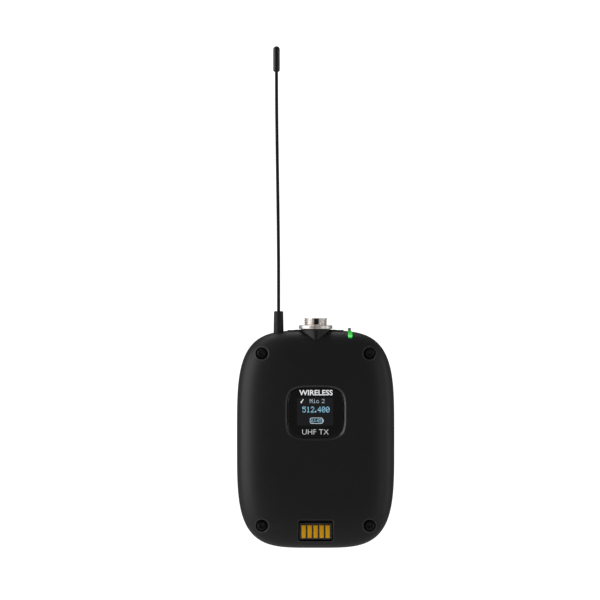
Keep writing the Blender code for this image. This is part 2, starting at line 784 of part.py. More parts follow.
def case_seal():
    """A gasket round the seam, open at the top where the antenna, the socket and the light pass."""
    top = SEAM_GAP + GASKET_THICKNESS
    edge = GASKET_EDGE + FIT
    seal = outline_prism("case_seal", [(SEAM_GAP, inset(edge)), (top, inset(edge))], "rubber")
    hole_half = inset(edge + GASKET_WIDTH)
    hole = outline_prism("case_seal_hole", [(-SKIRT, hole_half), (SKIRT, hole_half)])
    left = ANTENNA_X - BOOT_HOLE_R - FIT
    right = LIGHT_X + LIGHT_WIDTH / 2 + 2 * FIT
    gap = box(
        "case_seal_gap",
        (right - left, 2 * SKIRT, HALF_HEIGHT),
        ((left + right) / 2, 0, HALF_HEIGHT),
    )
    cut(seal, hole, gap)


def case_screws():
    for i, (x, z) in enumerate(CORNERS):
        head_top = SCREW_SEAT + FIT + SCREW_HEAD_HEIGHT
        seat = SCREW_SEAT + FIT
        profile = [
            (0, head_top),
            (SCREW_HEAD_R * 0.8, head_top),
            (SCREW_HEAD_R, head_top - 0.2 * SCREW_HEAD_HEIGHT),
            (SCREW_HEAD_R, seat),
            (SCREW_SHANK_R, seat),
            (SCREW_SHANK_R, -SCREW_REACH),
            (0, -SCREW_REACH),
        ]
        screw = turned(f"case_screw_{i + 1}", profile, (x, 0, z), "black_steel")
        screw.rotation_euler = (math.pi / 2, 0, 0)
        socket = cylinder(
            f"drive_socket_{i + 1}",
            SOCKET_R,
            -head_top - SKIRT,
            -head_top + SOCKET_DEPTH,
            "Y",
            (x, z),
            steps=6,
        )
        cut(screw, socket)
        bore = SCREW_SHANK_R + FIT
        start = SEAM_GAP + 2 * FIT
        insert = cylinder(
            f"case_insert_{i + 1}",
            bore + INSERT_WALL,
            start,
            start + INSERT_LENGTH,
            "Y",
            (x, z),
            "brass",
        )
        cut(insert, cylinder(f"insert_bore_{i + 1}", bore, -SKIRT, REAR_DEPTH, "Y", (x, z)))


# ---------------------------------------------------------------- display, board and battery


def display():
    back = -WINDOW_FACE + WINDOW_THICKNESS
    pane = [(-WINDOW_FACE, WINDOW_HALF), (back, WINDOW_HALF)]
    outline_prism("display_window", pane, "black_glass", WINDOW_Z)
    seal_half = grown(WINDOW_HALF, -FIT)
    seal_levels = [(back + FIT, seal_half), (back + FIT + WINDOW_SEAL, seal_half)]
    seal = outline_prism("window_seal", seal_levels, "rubber", WINDOW_Z)
    hole_size = (DISPLAY_SIZE[0] + 5 * FIT, FRONT_DEPTH, DISPLAY_SIZE[2] + 5 * FIT)
    cut(seal, box("window_seal_hole", hole_size, (0, back, DISPLAY_Z)))
    panel_y = back + FIT + DISPLAY_SIZE[1] / 2
    box("display_panel", DISPLAY_SIZE, (0, panel_y, DISPLAY_Z), "black_glass")
    start = back + FIT + DISPLAY_SIZE[1] + FIT
    depth = -BOARD_FACE - start
    holder = box(
        "display_holder",
        (DISPLAY_SIZE[0], depth, DISPLAY_SIZE[2]),
        (0, start + depth / 2, DISPLAY_Z),
        "black_plastic",
    )
    hollow = (DISPLAY_SIZE[0] - 2 * HOLDER_WALL, 2 * depth, DISPLAY_SIZE[2] - 2 * HOLDER_WALL)
    cut(holder, box("display_holder_hollow", hollow, (0, start + depth / 2, DISPLAY_Z)))


def main_board():
    tab, foot = BOARD_TAB_HALF_WIDTH, BOARD_BOTTOM - BOARD_TAB_DROP
    points = [
        (-BOARD_HALF_WIDTH, BOARD_TOP),
        (-BOARD_HALF_WIDTH, BOARD_BOTTOM),
        (-tab, BOARD_BOTTOM),
        (-tab, foot),
        (tab, foot),
        (tab, BOARD_BOTTOM),
        (BOARD_HALF_WIDTH, BOARD_BOTTOM),
        (BOARD_HALF_WIDTH, BOARD_TOP),
    ]
    board = outline("main_board", points, "XZ", BOARD_THICKNESS, (0, 0, 0), "board_green")
    for i, post in enumerate(BOARD_POSTS):
        hole = cylinder(
            f"board_hole_{i + 1}", BOARD_SCREW_R + FIT, -SKIRT, SKIRT, "Y", post, steps=SMALL_ROUND
        )
        cut(board, hole)
        head = BOARD_FACE + BOARD_SCREW_HEAD_R / 2
        profile = [
            (0, head),
            (BOARD_SCREW_HEAD_R, head),
            (BOARD_SCREW_HEAD_R, BOARD_FACE),
            (BOARD_SCREW_R, BOARD_FACE),
            (BOARD_SCREW_R, -FRONT_DEPTH / 2),
            (0, -FRONT_DEPTH / 2),
        ]
        screw = turned(
            f"board_screw_{i + 1}", profile, (post[0], 0, post[1]), "steel", SMALL_ROUND
        )
        screw.rotation_euler = (-math.pi / 2, 0, 0)
    shield_y = -BOARD_FACE - SHIELD_SIZE[1] / 2
    box("shield_can", SHIELD_SIZE, (0, shield_y, SHIELD_Z), "steel", SHIELD_EDGE)


def battery():
    face = BOARD_FACE + PAD_THICKNESS + FIT
    pad_size = (BATTERY_SIZE[0] - 4 * WALL, PAD_THICKNESS, BATTERY_SIZE[2] - 4 * WALL)
    box("battery_pad", pad_size, (0, BOARD_FACE + PAD_THICKNESS / 2, BATTERY_Z), "foam")
    depth = BATTERY_SIZE[1] - PAD_THICKNESS
    cell_size = (BATTERY_SIZE[0], depth, BATTERY_SIZE[2])
    box("battery_cell", cell_size, (0, face + depth / 2, BATTERY_Z), "foil", BATTERY_EDGE)
    plug_y = BOARD_FACE + PLUG_SIZE[1] / 2
    box("battery_plug", PLUG_SIZE, (0, plug_y, PLUG_Z), "black_plastic")
    start = BATTERY_Z + BATTERY_SIZE[2] / 2 + FIT
    end = PLUG_Z - PLUG_SIZE[2] / 2 - FIT
    lead_y = face + depth / 2
    route = []
    for i in range(LEAD_STEPS + 1):
        share = i / LEAD_STEPS
        x = LEAD_SWAY * math.sin(math.pi * share) ** 2
        y = lead_y + (plug_y - lead_y) * smooth_share(share, 0, 1)
        route.append((x, y, start + (end - start) * share))
    wire("battery_lead", route, LEAD_R, "lead_red")


def wire(name, route, radius, material, resolution=2):
    """A round wire along a list of points."""
    curve = bpy.data.curves.new(name, "CURVE")
    curve.dimensions = "3D"
    curve.bevel_depth = radius
    curve.bevel_resolution = resolution
    curve.use_fill_caps = True
    spline = curve.splines.new("POLY")
    spline.points.add(len(route) - 1)
    for point, place_at in zip(spline.points, route):
        point.co = (*place_at, 1)
    return place(name, curve, material)


# ---------------------------------------------------------------- charging contacts


def charging_contacts():
    """A carrier and gold strips that bend over its top edge and run back to the board."""
    tilt = bpy.data.objects.new("contact_tilt", None)
    pieces.objects.link(tilt)
    tilt.parent = housing
    face = front_depth_at(0, CONTACT_Z) - CONTACT_DROP
    tilt.location = (0, -face, CONTACT_Z)
    tilt.rotation_euler = (CONTACT_TILT, 0, 0)
    width, height = CARRIER_SIZE
    carrier = box(
        "contact_carrier",
        (width, CARRIER_DEPTH, height),
        (0, CARRIER_DEPTH / 2, 0),
        "black_plastic",
        parent=tilt,
    )
    rim = box(
        "carrier_rim",
        (width + 2 * CARRIER_RIM, CARRIER_RIM_THICKNESS, height + CARRIER_RIM - FIT),
        (0, CARRIER_DEPTH, CARRIER_RIM / 2),
        parent=tilt,
    )
    join(carrier, rim)
    strip_height = CONTACT_SIZE[1] / 2
    groove = CONTACT_THICKNESS - CONTACT_PROUD + FIT
    tail_z = strip_height - CONTACT_THICKNESS
    tail = face - BOARD_FACE
    reach = strip_height + FIT
    way_points = [
        (-groove, -reach),
        (groove, -reach),
        (groove, tail_z - FIT),
        (2 * tail, tail_z - FIT),
        (2 * tail, reach),
        (-groove, reach),
    ]
    for i in range(CONTACT_COUNT):
        x = (i - (CONTACT_COUNT - 1) / 2) * CONTACT_PITCH
        way_width = CONTACT_SIZE[0] + 2 * FIT
        way = outline(
            f"contact_way_{i + 1}", way_points, "YZ", way_width, (x, 0, 0), parent=tilt
        )
        cut(carrier, way)
        profile = [
            (-CONTACT_PROUD, -strip_height),
            (-CONTACT_PROUD + CONTACT_THICKNESS, -strip_height),
            (-CONTACT_PROUD + CONTACT_THICKNESS, tail_z),
            (tail, tail_z),
            (tail, strip_height),
            (0, strip_height),
            (-CONTACT_PROUD, tail_z),
        ]
        outline(
            f"charge_contact_{i + 1}", profile, "YZ", CONTACT_SIZE[0], (x, 0, 0), "gold", tilt
        )


# ---------------------------------------------------------------- microphone socket


def microphone_socket():
    flange_top = CAVITY_TOP - BARREL_SEAL - 2 * FIT
    flange_bottom = flange_top - BARREL_FLANGE_THICKNESS
    barrel_profile = [
        (BARREL_BORE_R, BARREL_TOP),
        (BARREL_R, BARREL_TOP),
        (BARREL_R, flange_top),
        (BARREL_FLANGE_R, flange_top),
        (BARREL_FLANGE_R, flange_bottom),
        (BARREL_R, flange_bottom),
        (BARREL_R, BARREL_BOTTOM),
        (BARREL_BORE_R, BARREL_BOTTOM),
        (BARREL_BORE_R, BARREL_TOP),
    ]
    barrel = turned("socket_barrel", barrel_profile, (0, 0, 0), "nickel", LARGE_ROUND)
    notch = box(
        "barrel_notch",
        (NOTCH_WIDTH, 2 * BARREL_R, 2 * NOTCH_DEPTH),
        (NOTCH_X, -BARREL_R, BARREL_TOP),
    )
    cut(barrel, notch)
    seal_profile = [
        (BARREL_R + FIT, flange_top + FIT + BARREL_SEAL),
        (BARREL_FLANGE_R, flange_top + FIT + BARREL_SEAL),
        (BARREL_FLANGE_R, flange_top + FIT),
        (BARREL_R + FIT, flange_top + FIT),
        (BARREL_R + FIT, flange_top + FIT + BARREL_SEAL),
    ]
    turned("socket_seal", seal_profile, (0, 0, 0), "rubber", LARGE_ROUND)
    ring_nut()
    insert = cylinder(
        "socket_insert",
        BARREL_BORE_R - FIT,
        BARREL_BOTTOM + FIT,
        INSERT_FACE,
        "Z",
        (0, 0),
        "black_plastic",
        LARGE_ROUND,
    )
    for i in range(PIN_COUNT):
        angle = math.radians(45) + i * 2 * math.pi / PIN_COUNT
        across = (PIN_CIRCLE_R * math.cos(angle), PIN_CIRCLE_R * math.sin(angle))
        cylinder(
            f"socket_pin_{i + 1}", PIN_R, PIN_BOTTOM, PIN_TOP, "Z", across, "gold", SMALL_ROUND
        )
        way = cylinder(
            f"pin_way_{i + 1}",
            PIN_R + FIT / 2,
            PIN_BOTTOM - SKIRT,
            PIN_TOP,
            "Z",
            across,
            steps=SMALL_ROUND,
        )
        cut(insert, way)


def ring_nut():
    """A round nut with a spanner slot on each side."""
    start = DECK_Z + FIT
    nut = cylinder(
        "socket_nut", NUT_R, start, start + NUT_HEIGHT, "Z", (0, 0), "nickel", LARGE_ROUND
    )
    hole = cylinder(
        "nut_hole",
        BARREL_R + FIT / 2,
        DECK_Z - SKIRT,
        DECK_Z + SKIRT,
        "Z",
        (0, 0),
        steps=LARGE_ROUND,
    )
    cut(nut, hole)
    for i in range(NUT_SLOTS):
        turn = NUT_TURN + i * 2 * math.pi / NUT_SLOTS
        size = (NUT_SLOT_WIDTH, 2 * NUT_SLOT_DEPTH, 2 * SKIRT)
        place_at = (NUT_R * math.sin(turn), -NUT_R * math.cos(turn), DECK_Z)
        slot = box(f"nut_slot_{i + 1}", size, place_at)
        slot.rotation_euler = (0, 0, turn)
        cut(nut, slot)


# ---------------------------------------------------------------- buttons, keys and switches


def push_switch(name, face, axis, across):
    """A switch body whose hole takes the plunger. face is its outer face along the axis."""
    width, depth, height = SWITCH_SIZE
    size = [width, depth, width]
    size["XYZ".index(axis)] = height
    centre = list(across)
    centre.insert("XYZ".index(axis), face - height / 2)
    centre[1] = BOARD_FACE + depth / 2
    body = box(f"{name}_switch", size, centre, "black_plastic")
    hole = cylinder(
        f"{name}_switch_hole",
        PLUNGER_R + SLIDE,
        face - 2 * BUTTON_TRAVEL - 3 * FIT,
        face + SKIRT,
        axis,
        across,
        steps=SMALL_ROUND,
    )
    cut(body, hole)


def power_button():
    """A pill through the deck, with a rim that holds it in and a stem to its switch."""
    across = (DECK_BUTTON_X, BUTTON_Y)
    top = deck_top(DECK_BUTTON_X) - BUTTON_SUNK
    width, depth = POWER_SIZE
    cap = outline(
        "power_button",
        pill(width, depth),
        "XY",
        top - POWER_RIM_Z,
        (*across, (top + POWER_RIM_Z) / 2),
        "rubber",
    )
    rim = outline(
        "power_rim",
        pill(width + 2 * BUTTON_RIM, depth + 2 * BUTTON_RIM),
        "XY",
        BUTTON_RIM_THICKNESS,
        (*across, POWER_RIM_Z + BUTTON_RIM_THICKNESS / 2),
    )
    stem = cylinder("power_stem", STEM_R, POWER_STEM_END, POWER_RIM_Z + SKIRT, "Z", across)
    join(cap, rim, stem)
    plunger_start = BOARD_TOP - BUTTON_TRAVEL
    cylinder(
        "power_plunger",
        PLUNGER_R,
        plunger_start,
        POWER_STEM_END - FIT,
        "Z",
        across,
        "steel",
        SMALL_ROUND,
    )
    push_switch("power", BOARD_TOP, "Z", across)


def infrared_window():
    """A dark lens as large as the power button, just below the deck."""
    top = deck_top(DECK_BUTTON_X) - BUTTON_SUNK
    place_at = (-DECK_BUTTON_X, BUTTON_Y, top - INFRARED_DEPTH / 2)
    outline("infrared_window", pill(*POWER_SIZE), "XY", INFRARED_DEPTH, place_at, "infrared_lens")


def menu_keys():
    """Two long keys that pass through the right flank and push sideways."""
    for i, height in enumerate(KEY_HEIGHTS):
        name = f"menu_key_{i + 1}"
        depth, length = KEY_SIZE
        cap = outline(
            name,
            pill(depth, length),
            "YZ",
            KEY_FACE_X - KEY_RIM_X,
            ((KEY_FACE_X + KEY_RIM_X) / 2, BUTTON_Y, height),
            "rubber",
        )
        rim = outline(
            f"key_rim_{i + 1}",
            pill(depth + 2 * BUTTON_RIM, length + 2 * BUTTON_RIM),
            "YZ",
            BUTTON_RIM_THICKNESS,
            (KEY_RIM_X + BUTTON_RIM_THICKNESS / 2, BUTTON_Y, height),
        )
        across = (BUTTON_Y, height)
        stem = cylinder(f"key_stem_{i + 1}", STEM_R, KEY_STEM_END, KEY_RIM_X + SKIRT, "X", across)
        join(cap, rim, stem)
        cylinder(
            f"menu_plunger_{i + 1}",
            PLUNGER_R,
            BOARD_HALF_WIDTH - BUTTON_TRAVEL,
            KEY_STEM_END - FIT,
            "X",
            across,
            "steel",
            SMALL_ROUND,
        )
        push_switch(f"menu_{i + 1}", BOARD_HALF_WIDTH, "X", across)


# ---------------------------------------------------------------- antenna and status light


def whip_x(z):
    """Sideways place of the whip at a height."""
    return ANTENNA_X + WHIP_LEAN * smooth_share(z, WHIP_LEAN_FROM, TIP_BOTTOM)


def antenna():
    bore = WHIP_R + FIT
    boot_profile = [
        (bore, BOOT_TOP),
        (BOOT_TOP_R, BOOT_TOP),
        (BOOT_FOOT_R, DECK_Z - WALL),
        (BOOT_FOOT_R, BOOT_FLANGE_TOP),
        (BOOT_FLANGE_R, BOOT_FLANGE_TOP),
        (BOOT_FLANGE_R, BOOT_BOTTOM),
        (bore, BOOT_BOTTOM),
        (bore, BOOT_TOP),
    ]
    turned("antenna_boot", boot_profile, (ANTENNA_X, 0, 0), "rubber", ROUND)
    end = TIP_BOTTOM + TIP_BORE_DEPTH - FIT
    rise = (end - WHIP_BOTTOM) / WHIP_STEPS
    heights = [WHIP_BOTTOM + rise * i for i in range(WHIP_STEPS + 1)]
    route = [(whip_x(z), 0, z) for z in heights]
    wire("antenna_whip", route, WHIP_R, "rubber")
    dome = [(x, z + TIP_TOP - TIP_R) for x, z in arc((0, 0), TIP_R, 90, 0, 4)]
    tip_profile = [
        *[(0 if i == 0 else x, z) for i, (x, z) in enumerate(dome)],
        (TIP_R, TIP_BOTTOM + TIP_R / 2),
        (bore + TIP_R / 4, TIP_BOTTOM),
        (bore, TIP_BOTTOM),
        (bore, TIP_BOTTOM + TIP_BORE_DEPTH),
        (0, TIP_BOTTOM + TIP_BORE_DEPTH),
    ]
    turned("antenna_tip", tip_profile, (whip_x(TIP_TOP), 0, 0), "rubber", ROUND)
    foot = -BOARD_FACE
    step = SPRING_STRIP
    top = WHIP_BOTTOM - FIT
    strip = [
        (foot, BOARD_TOP - SPRING_FOOT),
        (foot - step, BOARD_TOP - SPRING_FOOT),
        (foot - step, top),
        (WHIP_R, top),
        (WHIP_R, top - step),
        (foot, top - step),
    ]
    outline("antenna_spring", strip, "YZ", SPRING_WIDTH, (ANTENNA_X, 0, 0), "brass")


def status_light():
    """The pipe's head fills its slot and stands proud of the shell, most of all at its crest."""
    steps = 7
    step = light_step()
    start, end = -LIGHT_REACH, -LIGHT_BACK
    skin = []
    for i in range(steps + 1):
        share = i / steps
        y = start + (end - start) * share
        lift = LIGHT_FOOT + (LIGHT_CREST - LIGHT_FOOT) * smooth_share(share, 0.3, 1)
        skin.append((y, front_height(LIGHT_X, y) + lift))
    profile = [
        *skin,
        (-LIGHT_BACK, step + LIGHT_STEM[1]),
        (-LIGHT_STEM[1], step),
        (-LIGHT_STEM[1], LIGHT_BOTTOM),
        (-LIGHT_STEM[0], LIGHT_BOTTOM),
        (-LIGHT_STEM[0], step),
        (start + WALL, step),
        (start, skin[0][1] - 2 * LIGHT_FOOT),
    ]
    outline("light_pipe", profile, "YZ", LIGHT_WIDTH, (LIGHT_X, 0, 0), "light_green")
    led_z = LIGHT_BOTTOM - FIT - LED_SIZE[2] / 2
    led_y = -BOARD_FACE - LED_SIZE[1] / 2
    box("status_led", LED_SIZE, (LIGHT_X, led_y, led_z), "foil")


# ---------------------------------------------------------------- belt clip


def clip_line(z):
    """Distance from the seam plane of the clip's middle surface at a height."""
    middle = CLIP_INNER + CLIP_THICKNESS / 2
    lip = REAR_FLAT + BELT_LAND_HEIGHT + CLIP_LIP_GAP + CLIP_THICKNESS / 2
    flare = CLIP_FLARE * smooth_share(z, CLIP_FLARE_FROM, CLIP_TOP)
    drop = (middle - lip) * smooth_share(-z, -CLIP_BEND_FROM, -CLIP_LIP_Z)
    past = max(0, CLIP_LIP_Z - z) / (CLIP_LIP_Z - CLIP_TAIL_Z)
    return middle + flare - drop + CLIP_TAIL_RISE * past**2


def clip_profile():
    """The clip plate's side view: its middle surface with half the thickness on either side."""
    bend_steps, tail_steps = 8, 4
    heights = [CLIP_TOP, (CLIP_TOP + CLIP_FLARE_FROM) / 2, CLIP_FLARE_FROM]
    for i in range(bend_steps + 1):
        heights.append(CLIP_BEND_FROM + (CLIP_LIP_Z - CLIP_BEND_FROM) * i / bend_steps)
    for i in range(1, tail_steps + 1):
        heights.append(CLIP_LIP_Z + (CLIP_TAIL_Z - CLIP_LIP_Z) * i / tail_steps)
    inner, outer = [], []
    nudge = 0.05 * MM
    for z in heights:
        slope = (clip_line(z + nudge) - clip_line(z - nudge)) / (2 * nudge)
        normal = CLIP_THICKNESS / 2 / math.hypot(1, slope)
        y = clip_line(z)
        outer.append((y + normal, z - slope * normal))
        inner.append((y - normal, z + slope * normal))
    return outer + inner[::-1]


def hinge_hole(name, x, radius):
    start, end = sorted((x, math.copysign(2 * CLIP_HALF_WIDTH, x)))
    return cylinder(name, radius, start, end, "X", (HINGE_Y, HINGE_Z), steps=24)


def ear_outline(radius, base_y, spread):
    """A lug seen from the side: a round end about the pin on a base that is spread wide."""
    towards = 1 if base_y > HINGE_Y else -1
    end = arc((HINGE_Y, HINGE_Z), radius, -90, -270, 8)
    if towards < 0:
        end = arc((HINGE_Y, HINGE_Z), radius, -90, 90, 8)
    return [(base_y, HINGE_Z - spread / 2), *end, (base_y, HINGE_Z + spread / 2)]


def belt_clip():
    plate = outline(
        "belt_clip", clip_profile(), "YZ", 2 * CLIP_HALF_WIDTH, (0, 0, 0), "black_steel"
    )
    sides = ((-1, "left"), (1, "right"))
    for side, word in sides:
        x = side * (CLIP_HALF_WIDTH - CHEEK_THICKNESS / 2)
        points = ear_outline(CHEEK_R, CLIP_INNER + CLIP_THICKNESS / 2, 2 * CHEEK_SPREAD)
        cheek = outline(f"clip_cheek_{word}", points, "YZ", CHEEK_THICKNESS - FIT / 10, (x, 0, 0))
        join(plate, cheek)
    for side, word in sides:
        inner = side * (CLIP_HALF_WIDTH - 2 * CHEEK_THICKNESS)
        cut(plate, hinge_hole(f"cheek_hole_{word}", inner, PIN_HOLE_R))
    bracket_top = REAR_FLAT + FIT + BRACKET_THICKNESS
    points = pill(2 * BRACKET_HALF_WIDTH, 2 * BRACKET_HALF_HEIGHT)
    bracket = outline(
        "clip_bracket",
        points,
        "XZ",
        BRACKET_THICKNESS,
        (0, bracket_top - BRACKET_THICKNESS / 2, HINGE_Z),
        "black_steel",
    )
    for side, word in sides:
        x = side * (EAR_INNER + EAR_THICKNESS / 2)
        points = ear_outline(EAR_R, bracket_top - BRACKET_THICKNESS / 2, 2 * CHEEK_SPREAD)
        ear = outline(f"bracket_ear_{word}", points, "YZ", EAR_THICKNESS, (x, 0, 0))
        join(bracket, ear)
    for side, word in sides:
        cut(bracket, hinge_hole(f"ear_hole_{word}", side * EAR_INNER / 2, PIN_HOLE_R))
        hole = cylinder(
            f"bracket_screw_hole_{word}",
            BRACKET_SCREW_R + FIT,
            0,
            HINGE_Y,
            "Y",
            (side * BRACKET_SCREW_X, HINGE_Z),
            steps=SMALL_ROUND,
        )
        cut(bracket, hole)
        bracket_screw(side, word, bracket_top)
    clip_pin()
    clip_spring()


def bracket_screw(side, word, seat):
    head = seat + FIT
    profile = [
        (0, head + BRACKET_SCREW_HEAD_R / 2),
        (BRACKET_SCREW_HEAD_R * 0.6, head + BRACKET_SCREW_HEAD_R / 2),
        (BRACKET_SCREW_HEAD_R, head),
        (BRACKET_SCREW_R, head),
        (BRACKET_SCREW_R, head - BRACKET_SCREW_LENGTH),
        (0, head - BRACKET_SCREW_LENGTH),
    ]
    location = (side * BRACKET_SCREW_X, 0, HINGE_Z)
    screw = turned(f"bracket_screw_{word}", profile, location, "black_steel", SMALL_ROUND)
    screw.rotation_euler = (-math.pi / 2, 0, 0)


def clip_pin():
    """A pin riveted over at both ends, outside the clip's cheeks."""
    half = CLIP_HALF_WIDTH + FIT
    end = half + PIN_HEAD_THICKNESS
    profile = [
        (0, end),
        (PIN_HEAD_R, end),
        (PIN_HEAD_R, half),
        (PIN_SHAFT_R, half),
        (PIN_SHAFT_R, -half),
        (PIN_HEAD_R, -half),
        (PIN_HEAD_R, -end),
        (0, -end),
    ]
    pin = turned("clip_pin", profile, (0, HINGE_Y, HINGE_Z), "steel", 24)
    pin.rotation_euler = (0, math.pi / 2, 0)


def clip_spring():
    """A coil round the pin. One leg bears on the bracket, and the other on the clip's thumb end."""
    steps = 10 * COIL_TURNS + 5
    turn = 2 * math.pi * steps / 10
    route = []
    for i in range(steps + 1):
        share = i / steps
        angle = turn * share
        x = COIL_HALF_LENGTH * (2 * share - 1)
        y = HINGE_Y - COIL_R * math.cos(angle)
        route.append((x, y, HINGE_Z - COIL_R * math.sin(angle)))
    first, last = route[0], route[-1]
    leg_up = HINGE_Z + COIL_LEG
    route.insert(0, (first[0], first[1], leg_up))
    route.append((last[0], last[1], leg_up))
    wire("clip_spring", route, COIL_WIRE_R, "steel", 1)


clear_scene()
pieces = new_collection("bodypack_transmitter")
cutters = new_collection("cutters")
housing = bpy.data.objects.new("housing", None)
pieces.objects.link(housing)
housing.location = (0, -(REAR_FLAT + BELT_LAND_HEIGHT), 0)

front_shell()
rear_shell()
case_seal()
case_screws()
display()
main_board()
battery()
charging_contacts()
microphone_socket()
power_button()
infrared_window()
menu_keys()
antenna()
status_light()
belt_clip()
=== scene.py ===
# %% [markdown]
# # A wireless bodypack transmitter
# This small radio clips to a belt and sends a microphone's sound through its whip antenna. The
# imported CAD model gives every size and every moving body. The cells below put a finer skin over
# it, piece by piece: the two shells first, then what is fixed in them, then what stands on them.
# We work in millimetres from the middle of the seam between the two shells, since those are the
# numbers on a maker's drawing, and turn them into Blender's metres at the last step.

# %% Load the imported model
import math

import bmesh
import bpy
import numpy as np
from mathutils import Matrix, Vector


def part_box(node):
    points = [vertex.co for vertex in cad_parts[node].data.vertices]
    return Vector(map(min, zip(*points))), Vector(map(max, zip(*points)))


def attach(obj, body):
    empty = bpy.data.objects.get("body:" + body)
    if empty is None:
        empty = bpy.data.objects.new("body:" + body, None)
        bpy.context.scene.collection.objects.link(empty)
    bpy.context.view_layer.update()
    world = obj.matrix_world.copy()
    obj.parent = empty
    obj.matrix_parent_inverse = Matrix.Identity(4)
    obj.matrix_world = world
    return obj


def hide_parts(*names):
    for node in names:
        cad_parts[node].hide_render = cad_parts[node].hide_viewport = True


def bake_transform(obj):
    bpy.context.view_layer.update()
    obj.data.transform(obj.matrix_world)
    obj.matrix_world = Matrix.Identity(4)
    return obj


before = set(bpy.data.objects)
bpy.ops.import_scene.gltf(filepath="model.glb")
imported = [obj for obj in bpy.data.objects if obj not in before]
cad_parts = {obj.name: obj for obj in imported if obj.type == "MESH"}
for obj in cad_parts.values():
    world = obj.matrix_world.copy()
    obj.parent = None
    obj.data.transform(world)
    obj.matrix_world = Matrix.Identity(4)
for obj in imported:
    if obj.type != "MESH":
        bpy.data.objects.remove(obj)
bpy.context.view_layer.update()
MM = 0.001
seam_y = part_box("front_shell")[1].y
print("nodes", len(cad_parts), "seam at", round(seam_y / MM, 2), "mm")


# %% Sizes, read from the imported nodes
def size_of(node):
    """Lowest and highest corner of a CAD node, in mm from the middle of the seam."""
    low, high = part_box(node)
    shift = Vector((0, seam_y, 0))
    return tuple((low - shift) / MM), tuple((high - shift) / MM)


(_, front_y, foot_z), (HALF_W, _, DECK_Z) = size_of("front_shell")
HALF_H, FRONT_DEPTH = -foot_z, -front_y
REAR_DEPTH = 9.5
REAR_FLAT = size_of("clip_bracket")[0][1] - 0.2
SCREWS = [f"case_screw_{i + 1}" for i in range(4)]
wells = [tuple((a + b) / 2 for a, b in zip(*size_of(screw))) for screw in SCREWS]
wells = [(x, z) for x, _, z in wells]
print("half sizes", round(HALF_W, 2), round(HALF_H, 2), "deck", round(DECK_Z, 2))


# %% [markdown]
# Every piece is a closed mesh in millimetres until `settle` moves it to its place in metres. The
# object itself then stays at the origin, unturned and unscaled, and rides on one CAD body.


# %% From millimetres to a piece on its body
def add_object(name, data):
    """A new object in the scene that shows this data."""
    obj = bpy.data.objects.new(name, data)
    bpy.context.scene.collection.objects.link(obj)
    return obj


def mesh_object(name, verts, faces):
    mesh = bpy.data.meshes.new(name)
    mesh.from_pydata([tuple(map(float, v)) for v in verts], [], faces)
    return add_object(name, mesh)


def object_from(shape, name):
    """A new object from a bmesh, which is freed."""
    mesh = bpy.data.meshes.new(name)
    shape.to_mesh(mesh)
    shape.free()
    return add_object(name, mesh)


def evaluated_mesh(obj):
    """The mesh of an object after its modifiers have run."""
    bpy.context.view_layer.update()
    graph = bpy.context.evaluated_depsgraph_get()
    return bpy.data.meshes.new_from_object(obj.evaluated_get(graph))


SHARP = 35  # degrees between faces from which an edge stays hard


def settle(obj, finish, body="housing", nodes=(), sharp=SHARP):
    """Moves a mesh in mm to its place in metres, smooths it and hands it to its body."""
    mesh = obj.data
    mesh.transform(Matrix.Translation((0, seam_y, 0)) @ Matrix.Scale(MM, 4))
    if sharp:
        mesh.shade_smooth()
        mesh.set_sharp_from_angle(angle=math.radians(sharp))
    if finish:
        mesh.materials.clear()
        mesh.materials.append(finish)
    if body:
        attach(obj, body)
    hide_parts(*nodes)
    print(obj.name, len(mesh.polygons), "faces on", body)
    return obj


# %% [markdown]
# A finish is a sum of small effects: grain, wear, dust. Node maths reads best as ordinary maths,
# so one small class stands for a socket. `1 - mask * 0.3` then adds its Math nodes by itself, and
# `add` makes any other node from its type, its settings and the values of its sockets.


# %% A socket that takes part in sums
def two_way(operation):
    """The methods behind an operator, with this Wire as its left or as its right side."""
    return (
        lambda self, other: self.sum(operation, self, other),
        lambda self, other: self.sum(operation, other, self),
    )


class Wire:
    def __init__(self, tree, socket=None):
        self.tree, self.socket = tree, socket

    def add(self, kind, inputs=(), output=0, **settings):
        """A new node: settings first, then its inputs by place or by name."""
        node = self.tree.nodes.new(kind)
        for key, value in settings.items():
            setattr(node, key, value)
        pairs = inputs.items() if isinstance(inputs, dict) else enumerate(inputs)
        for key, value in pairs:
            if isinstance(value, Wire):
                self.tree.links.new(value.socket, node.inputs[key])
            elif value is not None:
                node.inputs[key].default_value = value
        return Wire(self.tree, node.outputs[output] if node.outputs else None)

    def out(self, output):
        """Another output of the same node."""
        return Wire(self.tree, self.socket.node.outputs[output])

    def sum(self, operation, *values):
        return self.add("ShaderNodeMath", values, operation=operation)

    __add__, __radd__ = two_way("ADD")
    __sub__, __rsub__ = two_way("SUBTRACT")
    __mul__, __rmul__ = two_way("MULTIPLY")
    __truediv__, __rtruediv__ = two_way("DIVIDE")

    def ease(self, low, high, start=0.0, end=1.0):
        """Runs smoothly from start to end while this value goes from low to high."""
        values = {"Value": self, "From Min": low, "From Max": high, "To Min": start, "To Max": end}
        return self.add("ShaderNodeMapRange", values, interpolation_type="SMOOTHSTEP")


# %% A finish starts from one Principled shader
def start_finish(name, colour, roughness, metallic=0.0, specular=0.5, coat=0.0):
    """A material, its shader node and a Wire for adding nodes to it."""
    material = bpy.data.materials.new(name)
    material.use_nodes = True
    shader = material.node_tree.nodes["Principled BSDF"]
    constants = {
        "Base Color": (*colour, 1),
        "Roughness": roughness,
        "Metallic": metallic,
        "Specular IOR Level": specular,
        "Coat Weight": coat,
    }
    for socket, value in constants.items():
        shader.inputs[socket].default_value = value
    return material, shader, Wire(material.node_tree)


def feed(shader, socket, wire):
    wire.tree.links.new(wire.socket, shader.inputs[socket])


